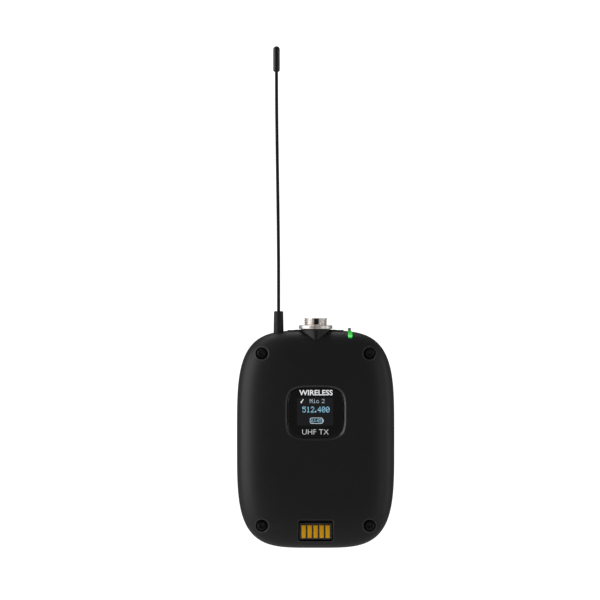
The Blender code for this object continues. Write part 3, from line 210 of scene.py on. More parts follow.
def own_place(wire):
    """The piece's own coordinates, in metres."""
    return wire.add("ShaderNodeTexCoord", output="Object")


def noise(wire, scale, detail=2.0, roughness=0.5, stretch=(1, 1, 1)):
    """Noise from -1 to 1 on the piece's own coordinates, in features per metre."""
    place = wire.add("ShaderNodeMapping", {"Vector": own_place(wire), "Scale": stretch})
    inputs = {"Vector": place, "Scale": scale, "Detail": detail, "Roughness": roughness}
    return wire.add("ShaderNodeTexNoise", inputs) * 2 - 1


def emboss(shader, height, depth):
    """A bump of that depth in metres from a height field."""
    bump = height.add("ShaderNodeBump", {"Strength": 1.0, "Distance": depth, "Height": height})
    feed(shader, "Normal", bump)


def blend_colour(wire, share, first, second):
    """From one colour to another. Either can be a Wire."""
    first, second = (c if isinstance(c, Wire) else (*c, 1) for c in (first, second))
    return wire.add("ShaderNodeMix", {0: share, 6: first, 7: second}, 2, data_type="RGBA")


def tinted(colour, share):
    return tuple(c * share for c in colour)


# %% [markdown]
# The case is moulded in a very dark plastic with the fine matte texture that spark erosion leaves
# in the tool. Two noises make it: a grain a tenth of a millimetre across that only bends the
# light, and slow patches that make the surface a little glossier where hands polish it. Keeping
# both faint matters, since a dark plastic shows its form through wide soft highlights.


# %% Moulded plastics and rubber
def moulded(name, colour, roughness, grain_depth, grain=7000, tint=0.15, specular=0.5):
    material, shader, wire = start_finish(name, colour, roughness, specular=specular)
    fine = noise(wire, grain, 3, 0.6)
    wide = noise(wire, 90, 4, 0.6)
    feed(shader, "Roughness", wide * 0.06 + fine * 0.03 + roughness)
    mottle = wide * 0.3 + fine * 0.25 + 0.5
    ends = tinted(colour, 1 - tint), tinted(colour, 1 + tint)
    feed(shader, "Base Color", blend_colour(wire, mottle, *ends))
    emboss(shader, fine, grain_depth)
    return material


shell_plastic = moulded("shell_plastic", (0.0065, 0.0065, 0.007), 0.46, 2.2e-6, specular=0.34)
black_plastic = moulded("black_plastic", (0.008, 0.008, 0.008), 0.38, 1.2e-6)
# lighter than the black plastic: painted light that lifts the carrier out of the shade of its deep
# opening
carrier_plastic_painted_light = moulded("carrier_plastic_painted_light", (0.03, 0.03, 0.031), 0.42, 1.2e-6)
# lips: the lower roughness is a smoother finish; the lighter colour is a painted highlight
rim_polish_and_highlight = moulded("rim_polish_and_highlight", (0.022, 0.022, 0.0225), 0.32, 8e-7)
rubber = moulded("rubber", (0.0065, 0.0065, 0.0067), 0.58, 1.5e-6, grain=5000, specular=0.35)
whip_jacket = moulded("whip_jacket", (0.006, 0.006, 0.0061), 0.5, 4e-7, 3500, specular=0.2)
tip_gloss = moulded("tip_gloss", (0.0045, 0.0045, 0.0047), 0.25, 3e-7, specular=0.4)
mark_white = moulded("mark_white", (0.55, 0.55, 0.55), 0.5, 1e-6)
foam = moulded("foam", (0.035, 0.035, 0.036), 0.9, 2.5e-5, grain=1800, tint=0.4)
seal_rubber = moulded("seal_rubber", (0.014, 0.014, 0.015), 0.7, 2e-6, grain=4000)
lead_jacket = moulded("lead_jacket", (0.42, 0.02, 0.018), 0.42, 1e-6)
print("plastics", [m.name for m in (shell_plastic, black_plastic, rubber, foam, lead_jacket)])


# %% [markdown]
# Metals differ by how they were worked. The barrel and nut are turned and nickel plated, so fine
# rings run round their axis. The clip is pressed steel with a baked black coat. Contacts and pins
# are gold over copper. A stretched noise draws the tool marks along one direction.


# %% Plated, turned and painted metals
def worked(name, colour, roughness, stretch, marks, depth, tint=0.2, metallic=1.0, specular=0.5):
    """Metal with tool marks: noise squeezed across the marks and long along them."""
    material, shader, wire = start_finish(name, colour, roughness, metallic, specular)
    lines = noise(wire, marks, 2, 0.55, stretch)
    stains = noise(wire, 350, 4, 0.6)
    feed(shader, "Roughness", lines * 0.05 + stains * 0.05 + roughness)
    mottle = stains * 0.4 + lines * 0.15 + 0.65
    feed(shader, "Base Color", blend_colour(wire, mottle, tinted(colour, 1 - tint), colour))
    emboss(shader, lines, depth)
    return material


nickel_turned = {"tint": 0.08, "metallic": 0.8}
nickel = worked("nickel", (0.84, 0.78, 0.73), 0.34, (0.05, 0.05, 1), 9000, 8e-7, **nickel_turned)
steel = worked("steel", (0.5, 0.5, 0.51), 0.28, (0.1, 1, 1), 6000, 6e-7)
brass = worked("brass", (0.62, 0.42, 0.16), 0.3, (0.1, 1, 0.1), 6000, 6e-7)
gold = worked("gold", (1.0, 0.5, 0.02), 0.3, (1, 0.2, 0.1), 5000, 5e-7, tint=0.12)
tinned = worked("tinned_steel", (0.62, 0.62, 0.6), 0.33, (1, 1, 0.2), 3000, 8e-7, tint=0.3)
black_coat, screw_coat = (0.016, 0.016, 0.017), (0.004, 0.004, 0.0042)
black_steel = worked("black_steel", black_coat, 0.4, (1, 1, 1), 5000, 2e-6, metallic=0.35)
screw_black = worked(
    "screw_black", screw_coat, 0.22, (1, 1, 1), 7000, 1e-6, metallic=0.0, specular=0.3
)
print("metals", [m.name for m in (nickel, steel, brass, gold, tinned, black_steel)])


# %% [markdown]
# The board has a green solder mask over copper tracks. From outside it can't be seen, yet it is a
# real piece, so it gets tracks and pads drawn by rule: a brick pattern for the tracks, and cells
# for the plated holes.


# %% Circuit board, glass and lens
def solder_mask():
    material, shader, wire = start_finish("solder_mask", (0.012, 0.1, 0.04), 0.32)
    turn = {"Vector": own_place(wire), "Rotation": (math.pi / 2, 0, 0)}
    turned = wire.add("ShaderNodeMapping", turn)
    sizes = {"Vector": turned, "Scale": 260.0, "Mortar Size": 0.05, "Bias": 0.0}
    tracks = wire.add("ShaderNodeTexBrick", sizes, output="Fac")
    cells = wire.add("ShaderNodeTexVoronoi", {"Vector": turned, "Scale": 420.0})
    pads = cells.ease(0.12, 0.16, 1, 0)
    copper = blend_colour(wire, tracks * 0.5, (0.01, 0.085, 0.034), (0.03, 0.17, 0.07))
    feed(shader, "Base Color", blend_colour(wire, pads, copper, (0.6, 0.42, 0.15)))
    feed(shader, "Metallic", pads * 0.9)
    emboss(shader, tracks * 0.6 + pads, 2.5e-5)
    return material


def glossy(name, colour, roughness, dust=0.1, specular=0.5, coat=0.0):
    """Glass or clear moulding: almost a mirror, with faint dust that dulls it in places."""
    material, shader, wire = start_finish(name, colour, roughness, 0.0, specular, coat)
    haze = noise(wire, 160, 5, 0.7).ease(-0.2, 0.9)
    specks = noise(wire, 2600, 1).ease(0.55, 0.7)
    feed(shader, "Roughness", haze * 0.05 + specks * dust + roughness)
    feed(shader, "Base Color", blend_colour(wire, specks * dust, colour, (0.12, 0.12, 0.12)))
    return material


board_green = solder_mask()
black_glass = glossy("black_glass", (0.0022, 0.0022, 0.0024), 0.05, specular=0.4)
infrared_lens = glossy("infrared_lens", (0.02, 0.002, 0.004), 0.08, coat=0.4)
lamp_body = glossy("lamp_body", (0.6, 0.62, 0.5), 0.3, dust=0.2)
print("board, glass and lens ready")


# %% [markdown]
# ## The two shells
# Each half of the case is a pillow: its outline is a superellipse, between an ellipse and a
# rectangle, and it swells from the seam in the same soft way. We build that skin as rings from a
# formula, and every rim around a well or window as loops that follow the same formula. So a
# rounded lip stays equally wide on the curved skin, which a straight cutter could not do.


# %% The skin's formula
OUTLINE, SWELL = 4, 6  # powers of the outline and of the rise from the seam
SOFTNESS = 0.25  # mm over which the back levels off


def reach(x, z):
    """0 at the middle of the outline and 1 on it."""
    across, along = np.abs(x) / HALF_W, np.abs(z) / HALF_H
    return (across**OUTLINE + along**OUTLINE) ** (1 / OUTLINE)


def soft_top(height, flat):
    """The height, levelled off smoothly at the flat back."""
    gap = (flat - height) / SOFTNESS
    return flat - SOFTNESS * np.where(gap > 6, gap, np.log1p(np.exp(np.minimum(gap, 30))))


def front_skin(x, z):
    return -FRONT_DEPTH * np.sqrt(np.clip(1 - reach(x, z) ** SWELL, 0, 1))


def superellipse(half, power, count, centre=(0, 0)):
    """Points on a superellipse: power 2 is an ellipse and 10 nearly a rectangle."""
    angle = 2 * math.pi * (np.arange(count) + 0.5) / count
    c, s = np.cos(angle), np.sin(angle)
    size = (np.abs(c) ** power + np.abs(s) ** power) ** (-1 / power)
    return centre[0] + half[0] * c * size, centre[1] + half[1] * s * size


# %% [markdown]
# Every solid of revolution, pocket or prism here is a stack of loops with the same number of
# points. `stack` skins them and closes both ends, so one helper serves shells and cutters alike.


# %% Solids from stacked loops
def stack(name, loops, closed=False):
    """A solid from loops of points, closed with a fan at both ends, or joined end to end."""
    loops = [np.asarray(loop, float) for loop in loops]
    count = len(loops[0])
    verts = list(np.concatenate(loops))
    faces = []
    last = len(loops) if closed else len(loops) - 1
    for k in range(last):
        a, b = k * count, (k + 1) % len(loops) * count
        for i in range(count):
            j = (i + 1) % count
            faces.append((a + i, a + j, b + j, b + i))
    if not closed:
        for base, flip in ((0, 1), ((len(loops) - 1) * count, -1)):
            verts.append(np.mean(verts[base : base + count], axis=0))
            for i in range(count):
                j = (i + 1) % count
                faces.append((base + j, base + i, len(verts) - 1)[::flip])
    obj = mesh_object(name, verts, faces)
    point_outwards(obj.data)
    return obj


def point_outwards(mesh):
    shape = bmesh.new()
    shape.from_mesh(mesh)
    bmesh.ops.recalc_face_normals(shape, faces=shape.faces)
    if shape.calc_volume(signed=True) < 0:
        bmesh.ops.reverse_faces(shape, faces=shape.faces)
    shape.to_mesh(mesh)
    shape.free()


def loop_at(axis, level, u, v):
    """A loop at that level of an axis, with u and v as its other coordinates."""
    columns = [u, v]
    columns.insert("XYZ".index(axis), np.broadcast_to(level, u.shape))
    return np.stack(columns, axis=1)


def level_loop(x, y, z):
    return loop_at("Y", y, x, z)


def round_loops(sections, axis="Z", centre=(0, 0), count=128):
    """Circles, given as (radius, level) along an axis."""
    rings = [(level, superellipse((r, r), 2, count, centre)) for r, level in sections]
    return [loop_at(axis, level, u, v) for level, (u, v) in rings]


def turned(name, sections, axis="Z", centre=(0, 0), count=128, closed=False):
    """A solid turned about an axis."""
    return stack(name, round_loops(sections, axis, centre, count), closed)


def cylinder(name, radius, low, high, centre, axis="Y", count=48):
    return turned(name, [(radius, low), (radius, high)], axis, centre, count)


def prism(name, half, power, low, high, centre=(0, 0), count=96):
    """A superellipse given its depth along Y."""
    x, z = superellipse(half, power, count, centre)
    return stack(name, [level_loop(x, low, z), level_loop(x, high, z)])


def pillow(name, inset, depth, side, flat=None, rounding=0.0, count=256):
    """Half of the case from its crown to the seam. side is -1 for the front."""
    half = (HALF_W - inset, HALF_H - inset)
    # Few rings on the calm crown, and many where the skin turns down to the seam.
    inner = np.linspace(0.05, 0.72, 14)
    rim = np.sin(np.linspace(math.asin(0.75**3), math.pi / 2, 20)) ** (1 / 3)
    loops = []
    for rho in (*inner, *rim):
        x, z = superellipse(half, OUTLINE, count)
        rise = depth * math.sqrt(max(0, 1 - rho**SWELL))
        if flat:
            rise = float(soft_top(np.array(rise), flat))
        loops.append(level_loop(rho * x, side * max(rise, rounding), rho * z))
    if rounding:
        for turn in np.radians((30, 60, 90)):
            pull = rounding * (1 - math.cos(turn))
            x, z = superellipse((half[0] - pull, half[1] - pull), OUTLINE, count)
            loops.append(level_loop(x, side * rounding * (1 - math.sin(turn)), z))
    else:
        x, z = superellipse(half, OUTLINE, count)
        loops.append(level_loop(x, -side * 3, z))
    return stack(name, loops)


def carve(target, others, operation="DIFFERENCE"):
    """Cuts or joins solids one after another, then removes them."""
    for other in others:
        modifier = target.modifiers.new(other.name, "BOOLEAN")
        modifier.operation, modifier.solver, modifier.object = operation, "MANIFOLD", other
    mesh = evaluated_mesh(target)
    target.modifiers.clear()
    target.data = mesh
    for other in others:
        bpy.data.objects.remove(other)
    return target


# %% [markdown]
# A well's lip is a small rounding where it meets the skin. Each loop of the cutter is the outline
# grown by some distance and sunk by some depth below the skin at that very point. Lips come out
# smoother than the textured skin, so their faces take a second finish with them into the cut. That
# finish is also lighter than the skin, a painted highlight that brightens the lips.


# %% Cutters whose lips follow the skin
LIP = [(1.4, -0.2), (0.62, -0.02), (0.36, 0.05), (0.17, 0.16), (0.05, 0.34), (0, 0.62)]


def skin_cutter(name, centre, half, power, count, floor_y, lip=LIP):
    def ring(out):
        return superellipse((half[0] + out, half[1] + out), power, count, centre)

    loops = [loop_at("Y", -FRONT_DEPTH - 2, *ring(lip[0][0]))]
    for out, depth in lip:
        x, z = ring(out)
        loops.append(level_loop(x, front_skin(x, z) + depth, z))
    loops.append(loop_at("Y", floor_y, *ring(0)))
    cutter = two_finishes(stack(name, loops))
    for face in cutter.data.polygons[count : count * len(lip)]:
        face.material_index = 1
    return cutter


def two_finishes(obj):
    """Slot 0 is the moulded texture and slot 1 the smoother lip, whose lighter colour is a painted
    highlight, on shells and on cutters.
    """
    for finish in (shell_plastic, rim_polish_and_highlight):
        obj.data.materials.append(finish)
    return obj


def round_edges(shape, edges, radius, segments):
    options = {"segments": segments, "profile": 0.5, "affect": "EDGES"}
    bmesh.ops.bevel(shape, geom=edges, offset=radius, **options)


def block(name, low, high, bevel=0.0, segments=3):
    """A box between two corners, with rounded edges."""
    shape = bmesh.new()
    bmesh.ops.create_cube(shape, size=1)
    low, high = Vector(low), Vector(high)
    for vert in shape.verts:
        vert.co = Vector(l + (c + 0.5) * (h - l) for l, c, h in zip(low, vert.co, high))
    if bevel:
        round_edges(shape, list(shape.edges), bevel, segments)
    bmesh.ops.recalc_face_normals(shape, faces=shape.faces)
    return object_from(shape, name)


# %% [markdown]
# A cut leaves long thin faces on the skin, and Blender would shade them unevenly. The formula
# knows the true normal at every point, so after the cuts each corner that lies on the skin gets
# exactly that normal. The highlights then run across the cuts without a ripple.


# %% True normals on the skin
def skin_normals(points, depth, flat):
    """Unit normals of the pillow's formula at points near it, and how far off it they are."""
    x, y, z = points.T
    rho = np.clip(reach(x, z), 1e-6, 1)
    rise = depth * np.sqrt(np.clip(1 - rho**SWELL, 0, 1))
    height = np.abs(y)
    slope, lean = 1.0, height
    if flat:
        slope = 1 / (1 + np.exp(np.clip((rise - flat) / SOFTNESS, -30, 30)))
        lean = np.where(height > flat - 1, rise, height)
    gx = SWELL * rho**2 * x**3 / HALF_W**4 * slope
    gz = SWELL * rho**2 * z**3 / HALF_H**4 * slope
    normals = np.stack([gx, 2 * lean / depth**2 * np.sign(y), gz], axis=1)
    normals /= np.maximum(np.linalg.norm(normals, axis=1, keepdims=True), 1e-9)
    steepness = np.sqrt(gx**2 + gz**2 + (2 * height / depth**2) ** 2)
    implicit = (height / depth) ** 2 + reach(x, z) ** SWELL - 1
    away = np.abs(implicit) / np.maximum(steepness, 1e-6)
    if flat:
        away = np.where(height > flat - 1, np.abs(height - soft_top(rise, flat)), away)
    return normals, away


def read_all(items, field, kind=np.float32, width=1):
    """One field of all vertices, faces or corners of a mesh, as an array."""
    values = np.empty(len(items) * width, kind)
    items.foreach_get(field, values)
    return values.reshape(-1, width) if width > 1 else values


def shade_skin(mesh, depth, flat=None, tolerance=0.06, widest=34):
    """Smooths a shell and gives its outer corners the formula's normals. Points are in mm."""
    mesh.shade_smooth()
    mesh.set_sharp_from_angle(angle=math.radians(SHARP))
    places = read_all(mesh.vertices, "co", width=3).astype(float)
    corner = read_all(mesh.loops, "vertex_index", np.int32)
    totals = read_all(mesh.polygons, "loop_total", np.int32)
    facing = np.repeat(read_all(mesh.polygons, "normal", width=3), totals, axis=0)
    now = read_all(mesh.corner_normals, "vector", width=3)
    true, away = (values[corner] for values in skin_normals(places, depth, flat))
    aligned = (true * facing).sum(1) > math.cos(math.radians(widest))
    close = (away < tolerance) & aligned
    now[close] = true[close]
    mesh.normals_split_custom_set(now)
    return int(close.sum())


# %% Front shell: the outer form
WALL = 2.0
WELL_R, WELL_DEEP, SHANK_R = 2.55, 5.4, 1.4
(_, window_y, z0), (window_w, pane_back, z1) = size_of("display_window")
window_half, window_z = (window_w, (z1 - z0) / 2), (z0 + z1) / 2
contact_z = -HALF_H + 7.3
antenna_x = size_of("antenna_boot")[0][0] + 3.0
light_low, light_high = size_of("light_pipe")
light_x = (light_low[0] + light_high[0]) / 2
PROW_LEVELS = [(1.06, 34), (1.0, DECK_Z - 0.4), (0.99, DECK_Z - 0.1), (0.97, DECK_Z + 0.12)]
BOSS_R, DECK_HALF, DECK_LEVEL_HALF = 6.5, 12.5, 7.5
PROW = [(6.4, 0), (6.25, -1.0), (5.4, -2.5), (4.1, -4.0), (2.7, -5.1), (1.3, -5.95), (0.35, -6.4)]


def prow_loop(scale, z):
    """The boss seen from above: two flat sides that meet in a blunt bow, and a round stern."""
    turns = np.radians(np.arange(12, 180, 12))
    stern = [(BOSS_R * math.cos(t), BOSS_R * math.sin(t)) for t in turns]
    port = [(-x, y) for x, y in PROW]
    return np.array([(scale * x, scale * y, z) for x, y in (*port, *PROW[::-1], *stern)])


def deck_top(x):
    """The deck is level under the nut and falls gently towards both ends."""
    past = max(0, abs(x) - DECK_LEVEL_HALF) / (DECK_HALF - DECK_LEVEL_HALF)
    return DECK_Z - 0.1 - 0.7 * past**1.6


def deck_loop(y, drop, pull):
    end = DECK_HALF - pull
    top = [(x, y, deck_top(x) - drop) for x in np.linspace(-end, end, 41)]
    return np.array([*top, (end, y, DECK_Z - 5), (-end, y, DECK_Z - 5)])


def top_form(side):
    """The boss under the microphone socket and the low deck beside it."""
    boss = stack(f"boss_{side}", [prow_loop(s, z) for s, z in PROW_LEVELS])
    reach_y = -2.2 if side < 0 else 4.8
    edge = [(reach_y, 0.5, 0.3), (reach_y * 0.97, 0.2, 0.1), (reach_y * 0.9, 0.06, 0.02)]
    edge += [(reach_y * 0.8, 0, 0), (-reach_y * 0.2, 0, 0)]
    deck = stack(f"deck_{side}", [deck_loop(*step) for step in edge])
    return boss, deck


def beyond(side):
    """Everything on the other side of the seam, kept 0.2 mm back behind it."""
    start = 0 if side < 0 else 0.2
    low, high = sorted((start, start - side * 40))
    return block(f"beyond_{side}", (-60, low, -80), (60, high, 80))


front = two_finishes(pillow("front_shell_skin", 0, FRONT_DEPTH, -1, rounding=0.15))
carve(front, top_form(-1), "UNION")
print("front form", len(front.data.polygons))


# %% Front shell: the hollow
def front_hollow():
    """The room inside the wall, less the bosses, the window's ledge and the board's posts."""
    hollow = pillow("front_hollow", WALL, FRONT_DEPTH - WALL, -1, count=128)
    keep = [cylinder(f"boss_{i}", 3.9, -12, 6, well) for i, well in enumerate(wells)]
    ledge = (window_half[0] + 1.6, window_half[1] + 1.6)
    keep.append(prism("ledge", ledge, OUTLINE, -14, -6.6, (0, window_z)))
    keep += [cylinder(f"post_{s}", 2.4, -12, -0.7, (s * 21.5, -14)) for s in (-1, 1)]
    return carve(hollow, keep)


def top_ways():
    """Room for the microphone socket's flange, its bore, and the antenna boot's stepped way."""
    step = size_of("antenna_boot")[0][2] + 1.8
    sections = [(3.2, 25), (3.2, step), (2.25, step), (2.25, 60)]
    return [
        cylinder("socket_room", 5.4, 25, DECK_Z - 4.2, (0, 0), "Z", 96),
        cylinder("socket_bore", 4.88, DECK_Z - 6, DECK_Z + 4, (0, 0), "Z", 96),
        turned("boot_way", sections, "Z", (antenna_x, 0), 96),
    ]


carve(front, [front_hollow(), *top_ways()])
print("front hollowed", len(front.data.polygons))


# %% Front shell: wells, window, contacts and light slot
well_cutters = []
for i, well in enumerate(wells):
    seat = -FRONT_DEPTH + WELL_DEEP
    well_cutters.append(skin_cutter(f"well_{i}", well, (WELL_R, WELL_R), 2, 96, seat))
    well_cutters.append(cylinder(f"shank_{i}", SHANK_R, seat - 1, 2, well))

WINDOW_LIP = [(2.0, -0.3), (1.22, -0.03), (1.08, 0.02), (0.94, 0.1)]
WINDOW_LIP += [(0.8, 0.22), (0.3, 0.66), (0.2, 0.78)]
POCKET_FLOOR, CONTACT_FLOOR = -7.6, -1.0
pocket = ("window_pocket", (0, window_z), window_half, OUTLINE, 256, POCKET_FLOOR, WINDOW_LIP)
window_cutter = skin_cutter(*pocket)
display_way = block("display_way", (-8.5, -9, window_z - 6.7), (8.5, -3, window_z + 7.5), 0.5)
CONTACT_LIP = [(1.3, -0.5), (0.42, -0.03), (0.2, 0.05), (0.08, 0.15), (0.01, 0.3), (0, 0.6)]
opening = (0, contact_z + 0.25), (7.25, 4.4)
rest = (16, 192, CONTACT_FLOOR, CONTACT_LIP)
contact_cutter = skin_cutter("contact_opening", *opening, *rest)
SLOT_HALF = 1.2
deep = light_low[1] - 0.2
slot_profile = [(deep, 60), (deep, 42.4), (-2.6, 40.9), (-2.6, 31), (5, 31), (5, 60)]
sides = [[(light_x + s * SLOT_HALF, y, z) for y, z in slot_profile] for s in (-1, 1)]
light_slot = stack("light_slot", sides)
carve(front, [*well_cutters, window_cutter, display_way, contact_cutter, light_slot, beyond(-1)])
print("on the skin", shade_skin(front.data, FRONT_DEPTH))
settle(front, None, nodes=["front_shell"], sharp=None)


# %% [markdown]
# The rear shell is the same pillow, levelled off at the back so that the pack lies flat against a
# belt. It carries a slightly raised land for the belt, the openings for the power button, the
# infrared port and the two keys, and a rebate for the gasket round its rim.


# %% Openings with rounded ends
def pill_loop(width, height, count=64):
    """Points round a rectangle whose shorter sides are half circles."""
    radius = min(width, height) / 2
    angle = 2 * math.pi * (np.arange(count) + 0.5) / count
    u, v = radius * np.cos(angle), radius * np.sin(angle)
    u += np.sign(u) * (width / 2 - radius)
    v += np.sign(v) * (height / 2 - radius)
    return u, v


def pill_stack(name, sections, axis, centre, count=64):
    """Pill sections (level, width, height) stacked along Z or X about a centre line."""
    loops = []
    for level, width, height in sections:
        u, v = pill_loop(width, height, count)
        loops.append(loop_at(axis, level, centre[0] + u, centre[1] + v))
    return stack(name, loops)


# %% Rear shell: form and hollow
BUTTON_X, BUTTON_Y = 10.1, 2.8
KEY_ZS = (15.0, 3.0)
BRACKET_HALF = 12.2
HINGE_Y, HINGE_Z = [(a + b) / 2 for a, b in zip(*size_of("clip_pin"))][1:]
bracket_sides = [(s, (s * BRACKET_HALF, HINGE_Z)) for s in (-1, 1)]
rear = pillow("rear_shell_skin", 0, REAR_DEPTH, 1, flat=REAR_FLAT, rounding=0.0)
land_low, land_high = (-11, 7, -21), (11, -seam_y / MM, 15)
carve(rear, [block("belt_land", land_low, land_high, 0.28, 4), *top_form(1)], "UNION")


def rear_hollow():
    hollow = pillow("rear_hollow", WALL, REAR_FLAT - 1.7, 1, count=128)
    keep = [cylinder(f"rear_boss_{i}", 3.45, -6, 12, well) for i, well in enumerate(wells)]
    keep += [cylinder(f"bracket_boss_{s}", 2.35, 3.9, 12, spot) for s, spot in bracket_sides]
    return carve(hollow, keep)


carve(rear, [rear_hollow(), *top_ways()])
print("rear form", len(rear.data.polygons))


# %% Rear shell: buttons, screws and rebate
def button_cutters():
    found = []
    mouth = [(DECK_Z - 0.55, 3.8, 3.0), (DECK_Z - 0.25, 4.0, 3.2)]
    for x in (-BUTTON_X, BUTTON_X):
        sections = [(36, 3.8, 3.0), *mouth, (60, 5, 4)]
        found.append(pill_stack(f"deck_way_{x:.0f}", sections, "Z", (x, BUTTON_Y)))
        found.append(block(f"deck_pocket_{x:.0f}", (x - 2.6, 0.6, 31), (x + 2.6, 5.0, 42)))
    for z in KEY_ZS:
        sections = [(27, 3.2, 8.8), (31.6, 3.2, 8.8), (32.3, 3.5, 9.1), (40, 5, 11)]
        found.append(pill_stack(f"key_way_{z:.0f}", sections, "X", (BUTTON_Y, z)))
        found.append(block(f"key_pocket_{z:.0f}", (25, 0.5, z - 5.1), (30, 5.1, z + 5.1)))
    return found


def rear_cutters():
    found = [cylinder(f"insert_hole_{i}", 2.15, -3, 5.3, well) for i, well in enumerate(wells)]
    for s, spot in bracket_sides:
        found.append(cylinder(f"bracket_hole_{s}", 1.0, 1, 12, spot, count=32))
    rim = (HALF_W - 0.8, HALF_H - 0.8)
    found.append(prism("rebate", rim, OUTLINE, -6, 1.0, count=256))
    slot = (light_x - SLOT_HALF, -5, 31), (light_x + SLOT_HALF, 0.7, 60)
    return [*found, block("rear_slot", *slot), beyond(1)]


carve(rear, [*button_cutters(), *rear_cutters()])
print("on the skin", shade_skin(rear.data, REAR_DEPTH, REAR_FLAT))
settle(rear, shell_plastic, nodes=["rear_shell"], sharp=None)


# %% [markdown]
# ## Repeated pieces with Geometry Nodes
# Screws, contacts and pins are one form placed several times, so each gets a node tree whose
# inputs are named for its sizes. `grow` sets those inputs by their identifiers, lets the tree
# run once, and keeps the result as a plain mesh, because an exported model has no instances.


# %% A node tree with named sizes
def new_tree(name, values):
    """An empty Geometry Nodes tree, its Wire and a Wire for each named input."""
    tree = bpy.data.node_groups.new(name, "GeometryNodeTree")
    tree.interface.new_socket("Geometry", in_out="INPUT", socket_type="NodeSocketGeometry")
    for label, value in values.items():
        kind = "NodeSocketInt" if isinstance(value, int) else "NodeSocketFloat"
        tree.interface.new_socket(label, in_out="INPUT", socket_type=kind)
    tree.interface.new_socket("Geometry", in_out="OUTPUT", socket_type="NodeSocketGeometry")
    wire = Wire(tree)
    first = wire.add("NodeGroupInput", output="Geometry")
    return tree, wire, first, {label: first.out(label) for label in values}


def end_tree(wire, geometry, finish):
    """Realize Instances and Set Material, which every tree here ends in."""
    real = wire.add("GeometryNodeRealizeInstances", [geometry])
    painted = wire.add("GeometryNodeSetMaterial", {"Geometry": real, "Material": finish})
    wire.add("NodeGroupOutput", [painted])


def grow(name, tree, values, base=None):
    """Runs a tree on a base mesh with those input values, and returns a plain mesh object."""
    obj = base or mesh_object(name, [(0, 0, 0)], [])
    obj.name = name
    modifier = obj.modifiers.new(name, "NODES")
    modifier.node_group = tree
    for item in tree.interface.items_tree:
        if item.in_out == "INPUT" and item.name in values:
            modifier[item.identifier] = values[item.name]
    mesh = evaluated_mesh(obj)
    obj.modifiers.remove(modifier)
    obj.data = mesh
    return obj


def row(wire, count, spot):
    """As many points as count, each at the x, y and z that spot makes from its index."""
    line = wire.add("GeometryNodeMeshLine", {"Count": count, "Offset": (0, 0, 0)})
    offset = wire.add("ShaderNodeCombineXYZ", spot(wire.add("GeometryNodeInputIndex")))
    return wire.add("GeometryNodeSetPosition", {"Geometry": line, "Offset": offset})


def centred(index, sizes):
    """How far a point of a row is from the row's middle."""
    return (index - (sizes["Count"] - 1) / 2) * sizes["Pitch"]


def repeat(name, form, finish, points, values, turn=lambda wire: (0, 0, 0)):
    """Puts one form on the points that points(wire, sizes) makes, and removes the form."""
    tree, wire, _, sizes = new_tree(name, values)
    inputs = {"Points": points(wire, sizes), "Rotation": turn(wire)}
    shape = wire.add("GeometryNodeObjectInfo", {"Object": form}, output="Geometry")
    inputs["Instance"] = shape
    end_tree(wire, wire.add("GeometryNodeInstanceOnPoints", inputs), finish)
    made = grow(name, tree, values)
    bpy.data.objects.remove(form)
    return made


# %% [markdown]
# The four case screws are cap heads with a hexagon socket, sunk in their wells. The head is turned
# from a profile, and the socket is a six sided cutter with a cone at its end, as a drill leaves
# it. Nobody lines screws up, so the tree turns each by a random angle with a fixed seed.


# %% One case screw
HEAD_R, KEY_R = 1.9, 0.97
head = size_of("case_screw_1")[0][1]
crown = [(0.9, 0), (1.5, 0), (1.66, 0.03), (1.8, 0.12), (1.87, 0.26), (HEAD_R, 0.42)]
head_profile = [(r, head + y) for r, y in (*crown, (HEAD_R, 1.5), (1.82, 1.6), (1.2, 1.6))]
screw_form = turned("screw_form", [*head_profile, (1.2, 4.3), (0.9, 4.6)], "Y", count=64)
hexagon = [(1.12, -1), (1.12, -0.02), (KEY_R, 0.12), (KEY_R, 0.95), (0.05, 1.3)]
hexagon = [(r, head + y) for r, y in hexagon]
carve(screw_form, [turned("screw_hexagon", hexagon, "Y", count=6)])


# %% Four screws on a grid of points
def screw_points(wire, sizes):
    grid = {"Size X": sizes["Across"], "Size Y": sizes["Along"], "Vertices X": 2, "Vertices Y": 2}
    flat = wire.add("GeometryNodeMeshGrid", grid)
    return wire.add("GeometryNodeTransform", {"Geometry": flat, "Rotation": (math.pi / 2, 0, 0)})


def any_turn(wire):
    limits = {"Min": (0, 0, 0), "Max": (0, math.pi / 3, 0), "Seed": 5}
    return wire.add("FunctionNodeRandomValue", limits, data_type="FLOAT_VECTOR")


spread = {"Across": 2 * abs(wells[0][0]), "Along": 2 * abs(wells[0][1])}
screws = repeat("case_screws", screw_form, screw_black, screw_points, spread, any_turn)
settle(screws, None, nodes=SCREWS)


# %% [markdown]
# The charging contacts are gold plated strips. Each lies in a groove of its carrier and bends
# back over the top edge, where the round bend catches the light. A strip is a side view with a
# real bend radius, given its width and then a small bevel on every edge.


# %% Strips drawn from the side
def slab(name, outline, low_x, high_x, bevel=0.0, segments=2, angle=30):
    """A plate: a (y, z) outline given its width along X, with rounded edges."""
    shape = bmesh.new()
    near = [shape.verts.new((low_x, y, z)) for y, z in outline]
    far = [shape.verts.new((high_x, y, z)) for y, z in outline]
    shape.faces.new(near)
    shape.faces.new(far[::-1])
    for i in range(len(outline)):
        j = (i + 1) % len(outline)
        shape.faces.new((near[i], far[i], far[j], near[j]))
    bmesh.ops.recalc_face_normals(shape, faces=shape.faces)
    if bevel:
        sharp = [e for e in shape.edges if e.calc_face_angle(0) > math.radians(angle)]
        round_edges(shape, sharp, bevel, segments)
    return object_from(shape, name)


def arc_points(centre, radius, start, end, steps):
    turns = np.radians(np.linspace(start, end, steps + 1))
    return [(centre[0] + radius * math.cos(t), centre[1] + radius * math.sin(t)) for t in turns]


